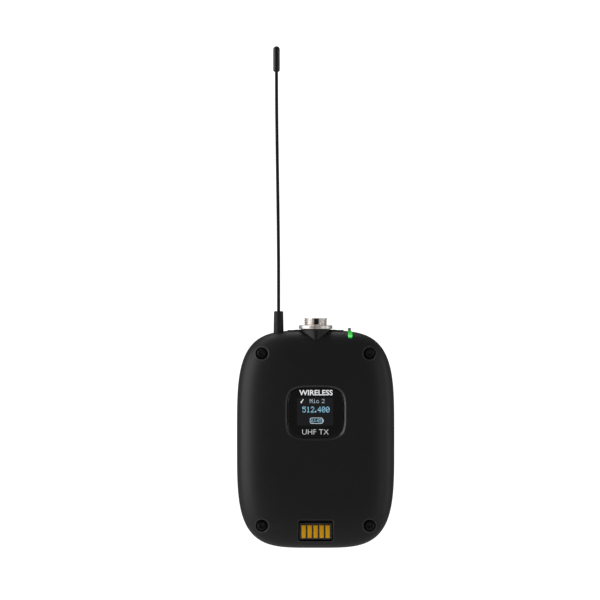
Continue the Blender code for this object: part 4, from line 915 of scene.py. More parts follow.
contact_face = float(-front_skin(np.array(0.0), np.array(contact_z))) - 1.15
strip_top = 2.9
strip_outline = [
    (-0.15, -strip_top),
    (0.15, -strip_top),
    (0.15, strip_top - 0.5),
    *arc_points((0.35, strip_top - 0.5), 0.2, 180, 90, 4),
    (contact_face - 0.75, strip_top - 0.3),
    (contact_face - 0.75, strip_top),
    *arc_points((0.45, strip_top - 0.6), 0.6, 90, 180, 10),
]
strip_form = slab("strip_form", strip_outline, -0.88, 0.88, 0.09, 3)


# %% Five contacts in a row
CONTACTS = {"Count": 5, "Pitch": 2.51}
contact_nodes = [f"charge_contact_{i + 1}" for i in range(CONTACTS["Count"])]


def contact_points(wire, sizes):
    return row(wire, sizes["Count"], lambda index: [centred(index, sizes)])


tilt = Matrix.Translation((0, -contact_face, contact_z)) @ Matrix.Rotation(math.radians(12), 4, "X")
contacts = repeat("charge_contacts", strip_form, gold, contact_points, CONTACTS)
contacts.data.transform(tilt)
contacts.data.shade_smooth()
settle(contacts, None, nodes=contact_nodes)

# %% Contact carrier
carrier = block("contact_carrier_body", (-6.75, 0, -3.5), (6.75, 3.4, 3.5), 0.18, 3)
carve(carrier, [block("carrier_rim", (-8.5, 2.7, -3.4), (8.5, 3.7, 5.6), 0.1, 2)], "UNION")
grooves = []
for i in range(CONTACTS["Count"]):
    x = (i - 2) * CONTACTS["Pitch"]
    grooves.append(block(f"groove_{i}", (x - 1.0, -1, -3.02), (x + 1.0, 0.25, 3.08), 0.08, 2))
    grooves.append(block(f"way_{i}", (x - 1.0, -0.5, 2.42), (x + 1.0, 8, 3.06)))
carve(carrier, grooves)
carrier.data.transform(tilt)
# the carrier's lighter finish is painted light against the shade in the opening
settle(carrier, carrier_plastic_painted_light, nodes=["contact_carrier"])


# %% [markdown]
# ## On the top deck
# The microphone socket is a turned barrel with a fine thread for the plug's ring. A thread is a
# rule: at every point the radius depends only on how far that point has come along the helix. So
# the tree takes a plain barrel and moves its wall in by that rule, which gives a true helix with
# its own pitch instead of stacked rings.


# %% Thread a barrel by rule
def thread_tree(values):
    tree, wire, first, sizes = new_tree("thread", values)
    parts = wire.add("ShaderNodeSeparateXYZ", [wire.add("GeometryNodeInputPosition")])
    x, y, z = parts, parts.out(1), parts.out(2)
    angle = wire.sum("ARCTAN2", y, x) / (2 * math.pi)
    share = wire.sum("FRACT", z / sizes["Pitch"] - angle + 10)
    groove = wire.sum("ABSOLUTE", share * 2 - 1).ease(0.12, 0.9)
    radius = wire.sum("SQRT", x * x + y * y)
    outer = wire.sum("GREATER_THAN", radius, sizes["Radius"] - 0.02)
    start, end = sizes["Start"], sizes["End"]
    fade = wire.add("ShaderNodeMapRange", {0: z, 1: start, 2: start + 0.3})
    runout = wire.add("ShaderNodeMapRange", {0: z, 1: end, 2: end - 0.3})
    scale = 1 - groove * outer * fade * runout * sizes["Depth"] / sizes["Radius"]
    offset = wire.add("ShaderNodeCombineXYZ", [x * scale - x, y * scale - y])
    cut = wire.add("GeometryNodeSetPosition", {"Geometry": first, "Offset": offset})
    end_tree(wire, cut, nickel)
    return tree


(_, _, barrel_foot), (_, _, barrel_top) = size_of("socket_barrel")
BARREL_R, BORE_R = 4.78, 4.0
flange = DECK_Z - 4.4
STEP = 0.06  # mm between the wall's rings, fine enough for the thread
wall = [(BARREL_R, z) for z in np.arange(DECK_Z - 0.5, barrel_top - 0.25, STEP)]
mouth = [(4.7, 0.12), (4.6, 0.02), (4.5, 0), (4.2, 0), (4.08, 0.04), (BORE_R, 0.16)]
barrel_sections = [
    *((BORE_R, barrel_foot), (BARREL_R, barrel_foot), (BARREL_R, flange - 1.2)),
    *((5.3, flange - 1.2), (5.3, flange), (BARREL_R, flange), *wall),
    *((r, barrel_top - down) for r, down in mouth),
]
barrel = turned("barrel_blank", barrel_sections, closed=True)
thread = {"Radius": BARREL_R, "Depth": 0.26, "Pitch": 0.79}
thread.update(Start=DECK_Z, End=barrel_top - 0.2)
barrel = grow("socket_barrel_threaded", thread_tree(thread), thread, barrel)
notch = block("notch", (-0.65, -6, barrel_top - 2.6), (1.25, -2.5, barrel_top + 2), 0.12, 2)
carve(barrel, [notch])
settle(barrel, nickel, nodes=["socket_barrel"], sharp=32)


# %% [markdown]
# The ring nut has four spanner slots. All its turned edges are broken by a small chamfer, because
# a bare edge would be sharp to the hand, and it is the chamfer that draws the bright lines.

# %% Ring nut with spanner slots
(_, _, nut_z0), (_, _, nut_z1) = size_of("socket_nut")
nut_r = 7.05
lower = [(4.95, 0.1), (5.05, 0), (nut_r - 0.2, 0), (nut_r - 0.05, 0.05), (nut_r, 0.18)]
upper = [(nut_r, 0.28), (nut_r - 0.06, 0.12), (nut_r - 0.22, 0), (5.1, 0), (4.95, 0.15)]
nut_sections = [(r, nut_z0 + up) for r, up in lower] + [(r, nut_z1 - down) for r, down in upper]
nut = turned("ring_nut", nut_sections, closed=True)
slots = []
for i in range(4):
    low, high = (-0.475, -8.5, nut_z0 - 1), (0.475, -nut_r + 1.1, nut_z1 + 1)
    slot = block(f"slot_{i}", low, high, 0.08, 2)
    slot.data.transform(Matrix.Rotation(math.radians(-3 + 90 * i), 4, "Z"))
    slots.append(slot)
carve(nut, slots)
settle(nut, nickel, nodes=["socket_nut"])

# %% [markdown]
# Inside the barrel an insulating insert holds four gold pins with rounded ends. They stand on a
# circle, so the tree takes the four corners of a circle mesh as its points.


# %% Insert and pins
PINS = {"Count": 4, "Circle": 2.3}
PIN_NODES = [f"socket_pin_{i + 1}" for i in range(PINS["Count"])]
PIN_DOME = (0.4, 0.8, 1.15, 1.45)  # angles, in radians
QUARTER = math.radians(45)


def socket_core():
    top, radius = size_of("socket_insert")[1][2], 3.8
    rim = [(radius, -0.4), (radius - 0.1, -0.3), (radius - 0.35, -0.3), (radius - 0.45, -0.4)]
    sections = [(radius, barrel_foot + 0.2), *((r, barrel_top + z) for r, z in rim)]
    sections += [(radius - 0.45, top), (0.7, top), (0.62, top - 0.25), (0.05, top - 0.3)]
    core = turned("socket_insert_core", sections, count=96)
    ways = []
    for i in range(PINS["Count"]):
        turn = QUARTER * (1 + 2 * i)
        centre = (PINS["Circle"] * math.cos(turn), PINS["Circle"] * math.sin(turn))
        sections = [(0.6, barrel_foot - 2), (0.6, top - 0.12), (0.78, top + 0.5)]
        ways.append(turned(f"pin_way_{i}", sections, "Z", centre, 32))
    carve(core, ways)
    settle(core, black_plastic, nodes=["socket_insert"])


def pin_points(wire, sizes):
    ring = {"Vertices": sizes["Count"], "Radius": sizes["Circle"]}
    return wire.add("GeometryNodeMeshCircle", ring)


def socket_pins():
    (_, _, foot), (_, _, tip) = size_of("socket_pin_1")
    radius = 0.5
    dome = [(radius * math.cos(t), tip - radius + radius * math.sin(t)) for t in PIN_DOME]
    form = turned("pin_form", [(radius, foot), (radius, tip - radius), *dome], count=32)
    form.data.shade_smooth()
    pins = repeat("socket_pins", form, gold, pin_points, PINS)
    pins.data.transform(Matrix.Rotation(QUARTER, 4, "Z"))
    settle(pins, None, nodes=PIN_NODES, sharp=40)


socket_core()
socket_pins()


# %% [markdown]
# The power button is a rubber cap with a domed top. Its stem reaches down to a switch, and a rim
# inside the shell keeps it from falling out. The common mark for on and off stands on the cap.


# %% Power button
def power_cap():
    foot, high = size_of("power_button")[0][2], DECK_Z - 0.24
    stem = [(foot, 1.8, 1.8), (41.0, 1.8, 1.8), (41.0, 4.8, 4.0), (41.8, 4.8, 4.0)]
    sections = [*stem, (41.8, 3.4, 2.6), (high - 0.45, 3.4, 2.6), (high - 0.3, 3.36, 2.56)]
    sections += [(high - 0.15, 3.24, 2.44), (high - 0.04, 2.98, 2.18)]
    sections += [(high, 2.6, 1.8), (high - 0.03, 1.4, 0.8)]
    cap = pill_stack("power_button_cap", sections, "Z", (BUTTON_X, BUTTON_Y))
    settle(cap, rubber, body="power_button", nodes=["power_button"])
    return high


def power_mark(high, radius=0.55, half=0.07, deep=0.1):
    """An open ring and a bar, whose tops are level with the cap's."""
    loops = []
    corners = [(-half, -deep), (-half, 0.0), (half, 0.0), (half, -deep)]
    for turn in np.radians(np.linspace(125, 415, 40)):
        c, s = math.cos(turn), math.sin(turn)
        middle = BUTTON_X + radius * c, BUTTON_Y + radius * s
        loops.append([(middle[0] + c * r, middle[1] + s * r, high + z) for r, z in corners])
    ring = stack("power_mark", loops)
    low = (BUTTON_X - half, BUTTON_Y + 0.1, high - deep)
    stem = block("power_mark_bar", low, (BUTTON_X + half, BUTTON_Y + 0.72, high), 0.02, 1)
    carve(ring, [stem], "UNION")
    settle(ring, mark_white, body="power_button")


power_mark(power_cap())

# %% [markdown]
# The infrared window lets a receiver send its settings over. It is a deep red lens that looks
# black, set into the deck with a rounded edge.

# %% Infrared window
LENS = [(3.2, 3.3, 2.5), (3.15, 3.4, 2.6), (0.5, 3.4, 2.6), (0.35, 3.34, 2.54)]
LENS += [(0.27, 3.18, 2.38), (0.25, 2.9, 2.1)]
lens_sections = [(DECK_Z - down, width, depth) for down, width, depth in LENS]
lens = pill_stack("infrared_lens_body", lens_sections, "Z", (-BUTTON_X, BUTTON_Y))
settle(lens, infrared_lens, nodes=["infrared_window"])


# %% [markdown]
# The keys on the flank are found by feel under clothing, so ribs cross their faces. A tree lays
# one small rounded rib several times along each key.


# %% Menu keys with ribs
def rib_points(wire, sizes):
    return row(wire, sizes["Count"], lambda index: [None, None, centred(index, sizes)])


def menu_key(body, z):
    (root, _, _), (crest, _, _) = size_of(body)
    face = crest - 0.22
    stem = [(root, 1.8, 1.8), (29.0, 1.8, 1.8), (29.0, 4.2, 9.8), (29.8, 4.2, 9.8)]
    edge = [(0.5, 2.8, 8.4), (0.3, 2.75, 8.35), (0.12, 2.6, 8.2), (0.02, 2.35, 7.95), (0, 2.0, 7.6)]
    sections = [*stem, (29.8, 2.8, 8.4), *((face - x, w, h) for x, w, h in edge)]
    key = pill_stack(f"{body}_cap", sections, "X", (BUTTON_Y, z))
    rib = [(face - 0.1, 1.7, 0.42), (face + 0.12, 1.66, 0.38), (face + 0.22, 1.5, 0.22)]
    form = pill_stack("rib_form", rib, "X", (BUTTON_Y, z), 24)
    ribs = repeat(f"{body}_ribs", form, rubber, rib_points, {"Count": 5, "Pitch": 1.1})
    settle(key, rubber, body=body, nodes=[body])
    settle(ribs, None, body=body)


for i, z in enumerate(KEY_ZS):
    menu_key(f"menu_key_{i + 1}", z)


# %% [markdown]
# ## Antenna and status light
# The whip is a steel wire in a thin jacket. It leaves its rubber boot upright, leans a little
# further up and ends in a moulded tip. The boot and the tip are turned, and the whip is a tube
# whose rings follow the CAD model's lean.


# %% Boot, whip and tip
def smooth(share):
    share = min(1.0, max(0.0, share))
    return share * share * (3 - 2 * share)


def shifted(obj, x):
    obj.data.transform(Matrix.Translation((x, 0, 0)))
    return obj


def antenna_boot():
    (_, _, foot), (_, _, top) = size_of("antenna_boot")
    bore = 0.76
    base = [(bore, foot), (2.9, foot), (3.0, foot + 0.1), (3.0, foot + 1.6), (2.12, foot + 1.6)]
    taper = [(2.12, DECK_Z - 2.0), (2.06, DECK_Z + 2.0), (2.0, DECK_Z + 5.0)]
    rim = [(1.95, 0.5), (1.9, 0.22), (1.76, 0.06), (1.45, 0), (0.95, 0), (0.82, 0.06), (bore, 0.2)]
    sections = [*base, *taper, *((r, top - down) for r, down in rim)]
    boot = turned("antenna_boot_turned", sections, count=96, closed=True)
    settle(shifted(boot, antenna_x), rubber, nodes=["antenna_boot"])


def antenna_whip():
    (_, _, foot), (_, _, top) = size_of("antenna_whip")
    (x0, _, tip_foot), (x1, _, tip_top) = size_of("antenna_tip")
    tip_x, tip_r = (x0 + x1) / 2, 1.4
    lean_from = DECK_Z + 20
    loops = []
    for z in np.linspace(foot, top, 160):
        x = antenna_x + (tip_x - antenna_x) * smooth((z - lean_from) / (tip_foot - lean_from))
        loops += round_loops([(0.67, z)], centre=(x, 0), count=32)
    settle(stack("antenna_whip_jacket", loops), whip_jacket, nodes=["antenna_whip"])
    turns = np.radians((0, 15, 30, 45, 60, 75, 87))
    dome = [(tip_r * math.cos(t), tip_top - tip_r + tip_r * math.sin(t)) for t in turns]
    hole = [(0.05, top + 0.2), (0.76, top + 0.2), (0.76, tip_foot + 0.1)]
    edge = [(0.86, 0), (1.0, 0), (1.2, 0.15), (1.35, 0.5), (tip_r, 0.9)]
    sections = [*hole, *((r, tip_foot + up) for r, up in edge), *dome]
    tip = shifted(turned("antenna_tip_turned", sections, count=64), tip_x)
    settle(tip, tip_gloss, nodes=["antenna_tip"])


antenna_boot()
antenna_whip()


# %% [markdown]
# The status light is a clear green moulding over a lamp on the board. It glows where it is thick
# above the lamp and greys towards its crest, where it stands out of the case. A whiter band low on
# it is partly that glow and partly a painted reflection.


# %% Light pipe
def light_finish():
    material, shader, wire = start_finish("light_green", (0.02, 0.3, 0.05), 0.25)
    shader.inputs["Emission Strength"].default_value = 1.0
    height = wire.add("ShaderNodeSeparateXYZ", [own_place(wire)]).out(2)
    height = height + noise(wire, 1200, 2) * 0.0001
    crest = height.ease(0.04505, 0.0457)
    # whiter band where the pipe is thick above the lamp: partly the lamp's glow, partly a painted
    # reflection
    glow_and_painted_reflection = height.ease(0.0427, 0.0431) * height.ease(0.0438, 0.0433)
    glow = blend_colour(wire, glow_and_painted_reflection, (0.0, 0.4, 0.01), (0.14, 0.85, 0.2))
    feed(shader, "Emission Color", blend_colour(wire, crest, glow, (0.02, 0.03, 0.022)))
    feed(shader, "Base Color", blend_colour(wire, crest, (0.01, 0.12, 0.02), (0.16, 0.17, 0.16)))
    return material


def light_pipe():
    """A pill that lies on the skin over the lamp, with a narrow crest above the edge."""
    foot, top, crest = 42.55, 45.35, light_high[2] - 0.02
    loops = []
    for lift, inset in ((0.0, 0.4), (0.12, 0.15), (0.3, 0.0), (1.5, 0.0)):
        half = (0.97 - inset, (top - foot) / 2 - inset)
        x, z = superellipse(half, 3.2, 48, (light_x, (top + foot) / 2))
        z = np.minimum(z, 45.3)
        rise = front_skin(x, np.minimum(z, 45.2)) - 0.32 + lift
        loops.append(level_loop(x, np.minimum(rise, -0.4 + 0.1 * lift), z))
    pipe = stack("light_pipe_body", loops)
    rounding = ((crest - 0.2, 0.64, 0.56), (crest - 0.05, 0.52, 0.45), (crest, 0.35, 0.28))
    loops = []
    for z, *half in ((42.9, 0.6, 0.5), (45.8, 0.68, 0.6), *rounding):
        loops.append(loop_at("Z", z, *superellipse(half, 4, 32, (light_x - 0.3, -1.3))))
    low, high = (light_x - 0.8, -2.3, light_low[2]), (light_x + 0.8, -0.9, 43.6)
    stem = block("light_stem", low, high, 0.1, 2)
    carve(pipe, [stack("light_crest", loops), stem], "UNION")
    settle(pipe, light_finish(), nodes=["light_pipe"], sharp=40)


light_pipe()


# %% [markdown]
# ## Display window
# The window is one pane of dark glass with a softly ground edge. The display glows from behind
# it: a panel slightly lighter than black, a row of text, the radio channel's frequency in bright
# dots and a battery level. We set these marks a hair above the glass, as thin plates that give
# off light, so that they stay crisp from any side.

# %% Glass pane
pane_sections = [(0.35, window_y), (0.16, window_y + 0.03), (0.05, window_y + 0.1)]
pane_sections += [(0, window_y + 0.22), (0, pane_back - 0.1), (0.08, pane_back)]
pane_loops = []
for inset, y in pane_sections:
    half = (window_half[0] - inset, window_half[1] - inset)
    pane_loops.append(loop_at("Y", y, *superellipse(half, OUTLINE, 192, (0, window_z))))
pane = stack("window_pane", pane_loops)
settle(pane, black_glass, nodes=["display_window"])


# %% Glowing finishes
def glow(name, colour, ripple=0.05):
    """A lit mark: its light varies a little, as between the dots of a display."""
    material, shader, wire = start_finish(name, (0.004, 0.004, 0.004), 0.2)
    shader.inputs["Emission Strength"].default_value = 1.0
    flicker = noise(wire, 3000, 1) * 0.5 + 0.5
    dimmer = tinted(colour, 1 - 2 * ripple)
    feed(shader, "Emission Color", blend_colour(wire, flicker, dimmer, colour))
    return material


panel_glow = glow("panel_glow", (0.0034, 0.0036, 0.005))
white_print = glow("white_print", (0.78, 0.79, 0.8), 0.04)
dot_blue = glow("dot_blue", (0.36, 0.74, 0.95))
dot_pale = glow("dot_pale", (0.62, 0.72, 0.8))


# %% Lit panel and printed words
PRINT = 0.02  # thickness of a mark, mm
glass_y = window_y - 0.004


def lit(obj, finish):
    return settle(obj, finish, sharp=None)


def plate(name, outline, finish, y=glass_y):
    """A thin plate in front of the glass: an (x, z) outline, flat face at y."""
    loops = [[(x, y + lift, z) for x, z in outline] for lift in (0, PRINT)]
    lit(stack(name, loops), finish)


def words(name, text, centre, width, height, weight):
    """Printed words, made a mesh and stretched to the size they have on the object."""
    curve = bpy.data.curves.new(name, "FONT")
    curve.body, curve.offset, curve.resolution_u = text, weight, 3
    curve.extrude = PRINT
    source = add_object(name, curve)
    mesh = evaluated_mesh(source)
    bpy.data.objects.remove(source)
    shape = bmesh.new()
    shape.from_mesh(mesh)
    bmesh.ops.remove_doubles(shape, verts=shape.verts, dist=1e-5)
    xs, ys = [v.co.x for v in shape.verts], [v.co.y for v in shape.verts]
    for vert in shape.verts:
        u = (vert.co.x - min(xs)) / (max(xs) - min(xs)) - 0.5
        v = (vert.co.y - min(ys)) / (max(ys) - min(ys)) - 0.5
        depth = glass_y if vert.co.z > 0 else glass_y + PRINT
        vert.co = (centre[0] + u * width, depth, centre[1] + v * height)
    bmesh.ops.recalc_face_normals(shape, faces=shape.faces)
    bpy.data.meshes.remove(mesh)
    lit(object_from(shape, name), white_print)


panel_outline = list(zip(*superellipse((7.55, 5.85), 24, 96, (-0.25, 11.75))))
plate("display_glow", panel_outline, panel_glow, glass_y + 0.001)
words("word_kind", "WIRELESS", (0.1, 19.65), 14.0, 2.3, 0.022)
words("word_model", "UHF TX", (-0.1, 3.25), 11.0, 2.1, -0.018)


# %% [markdown]
# A character on such a display is a small grid of lit dots, and each row of text is many dots of
# one kind. The script keeps a tiny alphabet of its own, makes one point for each lit dot, and a
# node tree puts a small square tile on every point.

# %% A dot alphabet
GLYPHS = {
    "0": "0E11131519110E", "1": "040C040404040E", "2": "0E11010204081F", "4": "02060A121F0202",
    "5": "1F101E0101110E", "6": "0608101E11110E", ".": "00000000000C0C", ":": "000C0C000C0C00",
    "M": "111B1515111111", "i": "0400040404040E", "c": "00000E1011110E",
}


def lit_dots(text):
    """Column and row of each lit dot in a line of text, rows counted upwards."""
    found, column = [], 0
    for letter in text:
        if letter == " ":
            column += 4
            continue
        narrow = letter == "."
        rows = [int(GLYPHS[letter][k : k + 2], 16) for k in range(0, 14, 2)]
        for r, bits in enumerate(rows):
            found += [(column + c - narrow, 6 - r) for c in range(5) if bits >> (4 - c) & 1]
        column += 4 if narrow else 6
    return found, column - 1


# %% Tiles on lit dots
def dot_tree(name, finish, values):
    """A square tile on each point of the base mesh. Cell is the pitch and Fill the tile's share."""
    tree, wire, first, sizes = new_tree(name, values)
    wide, tall = (sizes[side] * sizes["Fill"] for side in ("Cell", "Tall"))
    tile = wire.add("ShaderNodeCombineXYZ", [wide, PRINT, tall])
    cube = wire.add("GeometryNodeMeshCube", {"Size": tile})
    points = wire.add("GeometryNodeMeshToPoints", {"Mesh": first})
    tiles = wire.add("GeometryNodeInstanceOnPoints", {"Points": points, "Instance": cube})
    end_tree(wire, tiles, finish)
    return tree


def dot_line(name, text, centre, width, height, finish, fill=0.86):
    dots, columns = lit_dots(text)
    cell, tall = width / columns, height / 7
    places = [
        (centre[0] + (c + 0.5 - columns / 2) * cell, glass_y + 0.008, centre[1] + (r - 3) * tall)
        for c, r in dots
    ]
    sizes = {"Cell": cell, "Tall": tall, "Fill": fill}
    lit(grow(name, dot_tree(name, finish, sizes), sizes, mesh_object(name, places, [])), None)


dot_line("dots_frequency", "512.400", (0.1, 12.6), 11.3, 2.4, dot_blue, 0.84)
dot_line("dots_name", "Mic 2", (0.6, 16.15), 6.2, 1.7, dot_pale, 0.8)


# %% Channel mark and battery level
def frame_plate(name, half, line, power, centre, finish):
    """A flat frame with round corners."""
    loops = []
    for inset, lift in ((0, 0), (line, 0), (line, PRINT), (0, PRINT)):
        x, z = superellipse((half[0] - inset, half[1] - inset), power, 64, centre)
        loops.append(level_loop(x, glass_y + lift, z))
    lit(stack(name, loops, closed=True), finish)


frame_plate("battery_frame", (2.7, 1.25), 0.2, 6, (0.3, 7.95), dot_pale)
dot_line("dots_hours", "6:45", (0.3, 7.95), 4.2, 1.5, dot_blue)
plate("battery_cap", [(3.05, 7.5), (3.3, 7.5), (3.3, 8.4), (3.05, 8.4)], dot_pale)
tick = [(-6.3, 15.3), (-5.7, 15.3), (-5.7, 15.8), (-5.0, 16.8)]
tick += [(-5.3, 17.0), (-6.0, 16.0), (-6.3, 15.9)]
plate("channel_mark", tick, white_print)


# %% [markdown]
# ## Belt clip
# The clip is a strip of spring steel, pressed to shape, with its two cheeks folded round a pin. We
# build the strip as one rounded cross-section swept down the clip's own line: level behind the
# belt, flared where a thumb lifts it, and curved in at the foot so that it grips the belt.

# %% Clip strip
CLIP_HALF, CLIP_THICK, CLIP_CORNER = 9.0, 1.2, 4.0
CLIP_TOP, CLIP_TAIL = size_of("belt_clip")[1][2], size_of("belt_clip")[0][2]
CLIP_MIDDLE = HINGE_Y + 2.1 + CLIP_THICK / 2
CLIP_LIP = REAR_FLAT + 0.7 + CLIP_THICK / 2


def clip_line(z):
    """How far the middle of the strip is from the seam at that height."""
    flare = smooth((z - HINGE_Z - 6) / 6)
    drop = (CLIP_MIDDLE - CLIP_LIP) * smooth((-7 - z) / 11.5)
    return CLIP_MIDDLE + flare - drop + 2.6 * (max(0, -18.5 - z) / 5.5) ** 2


def strip_loop(z, half, thick, corner=0.3):
    """A rounded rectangle across the strip, square to its line."""
    slope = (clip_line(z + 0.05) - clip_line(z - 0.05)) / 0.1
    outwards = Vector((0, 1, -slope)).normalized()
    corner = min(corner, thick / 2 - 0.02)
    loop = []
    for k in range(20):
        turn = math.radians(90 * (k // 5) + 22.5 * (k % 5))
        side, face = (1, -1, -1, 1)[k // 5], (1, 1, -1, -1)[k // 5]
        x = side * (half - corner) + corner * math.cos(turn)
        lift = face * (thick / 2 - corner) + corner * math.sin(turn)
        loop.append((x, clip_line(z) + outwards.y * lift, z + outwards.z * lift))
    return loop


def clip_heights(top, tail):
    """Sections close together in both round ends, and spread evenly between them."""
    curve = CLIP_CORNER * np.sin(np.radians(np.arange(0, 91, 6)))
    straight = np.linspace(top - CLIP_CORNER, tail + CLIP_CORNER, 60)[1:-1]
    return [*(top - CLIP_CORNER + curve[:0:-1]), *straight, *(tail + CLIP_CORNER - curve)]


def clip_strip():
    top, tail = CLIP_TOP - 0.1, CLIP_TAIL + 0.5
    loops = []
    for z in clip_heights(top, tail):
        past = max(0, z - (top - CLIP_CORNER), tail + CLIP_CORNER - z)
        half = CLIP_HALF - CLIP_CORNER + math.sqrt(max(0, CLIP_CORNER**2 - past**2))
        near_end = min(top - z, z - tail)
        thick = CLIP_THICK - 0.5 * max(0, 1 - near_end / 0.25) ** 2
        loops.append(strip_loop(z, half, thick))
    return stack("belt_clip_strip", loops)


def lug(name, base_y, radius, spread, low_x, high_x):
    """A lug round the pin, seen from the side: a round end on a wide base."""
    turns = (-90, -270) if base_y > HINGE_Y else (-90, 90)
    end = arc_points((HINGE_Y, HINGE_Z), radius, *turns, 16)
    outline = [(base_y, HINGE_Z - spread), *end, (base_y, HINGE_Z + spread)]
    return slab(name, outline, *sorted((low_x, high_x)), 0.12, 2, 40)


def pin_hole(name, low_x, high_x):
    return cylinder(name, 1.1, low_x, high_x, (HINGE_Y, HINGE_Z), "X")


clip = clip_strip()
cheeks = [lug(f"cheek_{s}", CLIP_MIDDLE, 1.9, 4.2, s * 8.08, s * 8.98) for s in (-1, 1)]
carve(clip, cheeks, "UNION")
carve(clip, [pin_hole(f"cheek_hole_{s}", s * 7.5, s * 9.1) for s in (-1, 1)])
settle(clip, black_steel, body="belt_clip", nodes=["belt_clip"], sharp=32)


# %% [markdown]
# Five pressed ridges give the thumb a hold. They follow the flare of the clip, and since that
# flare is a formula, the tree uses the same one to seat each ridge on the metal.


# %% Thumb ridges
def ridge_points(wire, sizes):
    def spot(index):
        height = index * sizes["Pitch"] + sizes["Start"]
        flare = height.ease(HINGE_Z + 6, HINGE_Z + 12)
        return [0, flare + (CLIP_MIDDLE + CLIP_THICK / 2 - 0.08), height]

    return row(wire, sizes["Count"], spot)


def thumb_ridges():
    form = slab("ridge_form", arc_points((0, 0), 0.3, 0, 337.5, 15), -5.2, 5.2, 0.1, 2, 50)
    sizes = {"Count": 5, "Pitch": 1.15, "Start": HINGE_Z + 5.6}
    ridges = repeat("belt_clip_ridges", form, black_steel, ridge_points, sizes)
    settle(ridges, None, body="belt_clip", sharp=40)


thumb_ridges()


# %% [markdown]
# A bracket screwed to the flat back carries the hinge. Its two ears stand inside the clip's
# cheeks, and the pin runs through all four and is riveted over at its ends.


# %% Bracket, its screws and the pin
def bracket_plate():
    low, high = size_of("clip_bracket")
    width, height, level = high[0] - low[0], min(high[2] - low[2], 9.6), low[1] + 1.0
    edge = [(low[1], 0.12), (low[1] + 0.1, 0), (level - 0.2, 0), (level - 0.06, 0.06), (level, 0.2)]
    loops = []
    for y, inset in edge:
        u, v = pill_loop(width - 2 * inset, height - 2 * inset, 96)
        loops.append(level_loop(u, y, v + HINGE_Z))
    bracket = stack("clip_bracket_plate", loops)
    ears = [lug(f"ear_{s}", level - 0.5, 1.8, 4.2, s * 6.32, s * 7.78) for s in (-1, 1)]
    carve(bracket, ears, "UNION")
    holes = [pin_hole(f"ear_hole_{s}", s * 6, s * 8) for s in (-1, 1)]
    holes += [cylinder(f"screw_hole_{s}", 1, 8, 12, spot, count=32) for s, spot in bracket_sides]
    carve(bracket, holes)
    settle(bracket, black_steel, nodes=["clip_bracket"], sharp=32)


def pair_points(wire, sizes):
    return row(wire, 2, lambda index: [(index * 2 - 1) * sizes["Half"], 0, HINGE_Z])


def bracket_screws():
    (_, end, _), (_, top, _) = size_of("bracket_screw_left")
    shank = [(0.6, end), (0.78, end + 0.25), (0.78, top - 0.85)]
    crown = [(1.6, 0.85), (1.7, 0.78), (1.64, 0.5), (1.4, 0.24), (1.0, 0.07), (0.5, 0)]
    profile = [*shank, *((r, top - down) for r, down in crown)]
    form = turned("bracket_screw_form", profile, "Y", count=48)
    for name, x, z in (("cross_a", 0.95, 0.16), ("cross_b", 0.16, 0.95)):
        carve(form, [block(name, (-x, top - 0.5, -z), (x, top + 1, z), 0.03, 1)])
    sizes = {"Half": BRACKET_HALF}
    screws = repeat("bracket_screws", form, screw_black, pair_points, sizes)
    settle(screws, None, nodes=["bracket_screw_left", "bracket_screw_right"])


def hinge_pin():
    end = size_of("clip_pin")[1][0]
    head = [(1.42, 0.5), (1.5, 0.42), (1.5, 0.2), (1.3, 0.06), (0.9, 0)]
    half = [(1.0, end - 0.5), *((r, end - back) for r, back in head)]
    sections = [(r, -x) for r, x in half[::-1]] + half
    pin = turned("clip_pin_riveted", sections, "X", (HINGE_Y, HINGE_Z), 48)
    settle(pin, steel, nodes=["clip_pin"])


bracket_plate()
bracket_screws()
hinge_pin()


# %% [markdown]
# The spring that shuts the clip is a helix with two straight legs. The tree lays its points by
# the helix's formula from their index alone, then gives the line a round wire. One leg rests on
# the case and the other on the clip; the piece rides on neither body.


# %% Torsion spring by rule
def spring_tree(values):
    tree, wire, _, sizes = new_tree("torsion_spring", values)
    leg, last = 12, 219  # points in a leg, and the last point's index

    def spot(index):
        share = wire.add("ShaderNodeMapRange", {0: index, 1: leg, 2: last - leg})
        angle = share * sizes["Turns"] * (2 * math.pi)
        past = wire.sum("MAXIMUM", leg - index, index - (last - leg))
        rise = wire.sum("MAXIMUM", past, 0) / leg
        y = HINGE_Y - sizes["Radius"] * wire.sum("COSINE", angle)
        z = HINGE_Z - sizes["Radius"] * wire.sum("SINE", angle) + rise * sizes["Leg"]
        return [(share * 2 - 1) * sizes["Half"], y, z]

    curve = wire.add("GeometryNodeMeshToCurve", {"Mesh": row(wire, last + 1, spot)})
    ring = {"Resolution": 12, "Radius": sizes["Wire"]}
    ring = wire.add("GeometryNodeCurvePrimitiveCircle", ring)
    swept = {"Curve": curve, "Profile Curve": ring, "Fill Caps": True}
    end_tree(wire, wire.add("GeometryNodeCurveToMesh", swept), steel)
    return tree


def torsion_spring():
    values = {"Radius": 1.55, "Wire": 0.28, "Turns": 5.5, "Half": 4.0, "Leg": 6.8}
    spring = grow("clip_torsion_spring", spring_tree(values), values)
    point_outwards(spring.data)
    settle(spring, None, body=None, nodes=["clip_spring"], sharp=60)
    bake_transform(spring)


torsion_spring()


# %% [markdown]
# ## Inside the case
# The pieces inside keep their shape from the CAD model, which is what a repair manual would show.
# They only need the finish of what they are made of. A display panel is dark glass, a shield can
# is tinned steel, the cell wears a printed sleeve, and the gaskets are soft rubber.


# %% A sleeve for the cell
def sleeve():
    """A battery cell's shrink sleeve: one colour with a lighter band at each end."""
    blue, silver = (0.03, 0.09, 0.2), (0.5, 0.5, 0.5)
    material, shader, wire = start_finish("cell_sleeve", blue, 0.32)
    height = wire.add("ShaderNodeSeparateXYZ", [own_place(wire)]).out(2)
    band = wire.sum("ABSOLUTE", height + 0.012).ease(0.017, 0.0173)
    scuffs = noise(wire, 400, 5, 0.7).ease(0.3, 0.8)
    feed(shader, "Base Color", blend_colour(wire, band, blue, silver))
    feed(shader, "Roughness", scuffs * 0.2 + 0.3)
    return material


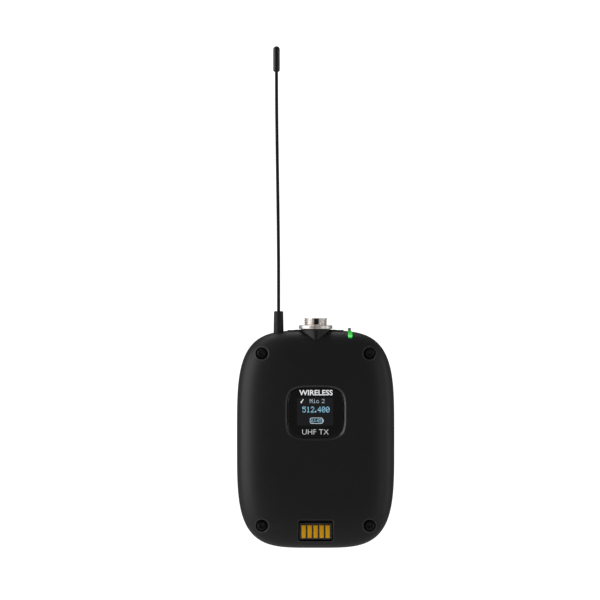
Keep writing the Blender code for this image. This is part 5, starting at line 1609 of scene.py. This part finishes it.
# %% Finishes of the pieces that keep their CAD shape
inner_finish = {
    seal_rubber: "case_seal window_seal socket_seal",
    brass: "case_insert_1 case_insert_2 case_insert_3 case_insert_4 antenna_spring",
    steel: "board_screw_1 board_screw_2 power_plunger menu_plunger_1 menu_plunger_2",
    black_plastic: "display_holder battery_plug power_switch menu_1_switch menu_2_switch",
    black_glass: "display_panel",
    board_green: "main_board",
    tinned: "shield_can",
    foam: "battery_pad",
    sleeve(): "battery_cell",
    lead_jacket: "battery_lead",
    lamp_body: "status_led",
}
for finish, nodes in inner_finish.items():
    for node in nodes.split():
        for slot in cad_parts[node].material_slots:
            slot.material = finish
print(len(inner_finish), "finishes on the inner pieces")


# %% [markdown]
# A product like this is shot with a long lens so that its sides stay straight, on a white sweep
# with a wide soft light on each side. The floor lies under the pack's foot and the white comes
# from the world behind it. The camera looks straight at the front.


# %% Floor
def floor():
    half, level = 1.5, -0.3
    shape = bmesh.new()
    bmesh.ops.create_grid(shape, x_segments=2, y_segments=2, size=half)
    sweep = object_from(shape, "floor")
    sweep.data.transform(Matrix.Translation((0, 0, level)))
    material, shader, wire = start_finish("floor_paper", (0.82, 0.82, 0.82), 0.85)
    fibres = noise(wire, 60, 4)
    ends = (0.8, 0.8, 0.8), (0.84, 0.84, 0.84)
    feed(shader, "Base Color", blend_colour(wire, fibres * 0.5 + 0.5, *ends))
    sweep.data.materials.append(material)


floor()


# %% Lights
TARGET = Vector((0, -0.009, 0.0))


def softbox(name, place, size, power, colour=(1, 1, 1)):
    """A rectangular light that faces the pack. Places are in metres."""
    light = bpy.data.lights.new(name, "AREA")
    light.shape = "RECTANGLE"
    light.size, light.size_y = size
    light.energy = power
    light.color = colour
    lamp = add_object(name, light)
    lamp.location = place
    lamp.rotation_euler = (TARGET - Vector(place)).to_track_quat("-Z", "Y").to_euler()


softbox("left_softbox", (-0.9, -0.2, 0.25), (0.75, 1.0), 5.2)
softbox("left_strip", (-0.72, -0.55, 0.1), (0.14, 1.0), 1.5)
softbox("right_softbox", (0.92, 0.0, 0.1), (0.3, 1.0), 1.5, (0.95, 0.97, 1.0))
softbox("right_strip", (0.72, -0.55, 0.1), (0.14, 1.0), 1.0)
softbox("top_softbox", (-0.2, 0.25, 0.93), (0.9, 0.3), 2.3)


# %% World: white behind the pack, dim in front
def surroundings():
    world = bpy.data.worlds.new("studio")
    bpy.context.scene.world = world
    world.use_nodes = True
    wire = Wire(world.node_tree)
    direction = wire.add("ShaderNodeTexCoord", output="Generated")
    towards = wire.add("ShaderNodeSeparateXYZ", [direction])
    behind = towards.out(1).ease(0.975, 0.992)
    level = behind + 0.19
    background = world.node_tree.nodes["Background"]
    world.node_tree.links.new(level.socket, background.inputs["Strength"])
    background.inputs["Color"].default_value = (1, 1, 1, 1)


surroundings()


# %% Camera
def front_camera(distance=2.0, width=0.2515):
    """Straight in front, with the pack and its whip in one square frame."""
    data = bpy.data.cameras.new("camera")
    data.sensor_width = 36
    data.lens = data.sensor_width * distance / width
    camera = add_object("camera", data)
    middle_x, middle_z = -6.55, 58.3
    camera.location = (middle_x * MM, seam_y - distance, middle_z * MM)
    camera.rotation_euler = (math.pi / 2, 0, 0)
    data.clip_start, data.clip_end = 0.05, 20
    bpy.context.scene.camera = camera


front_camera()
bpy.context.scene.view_settings.view_transform = "Standard"
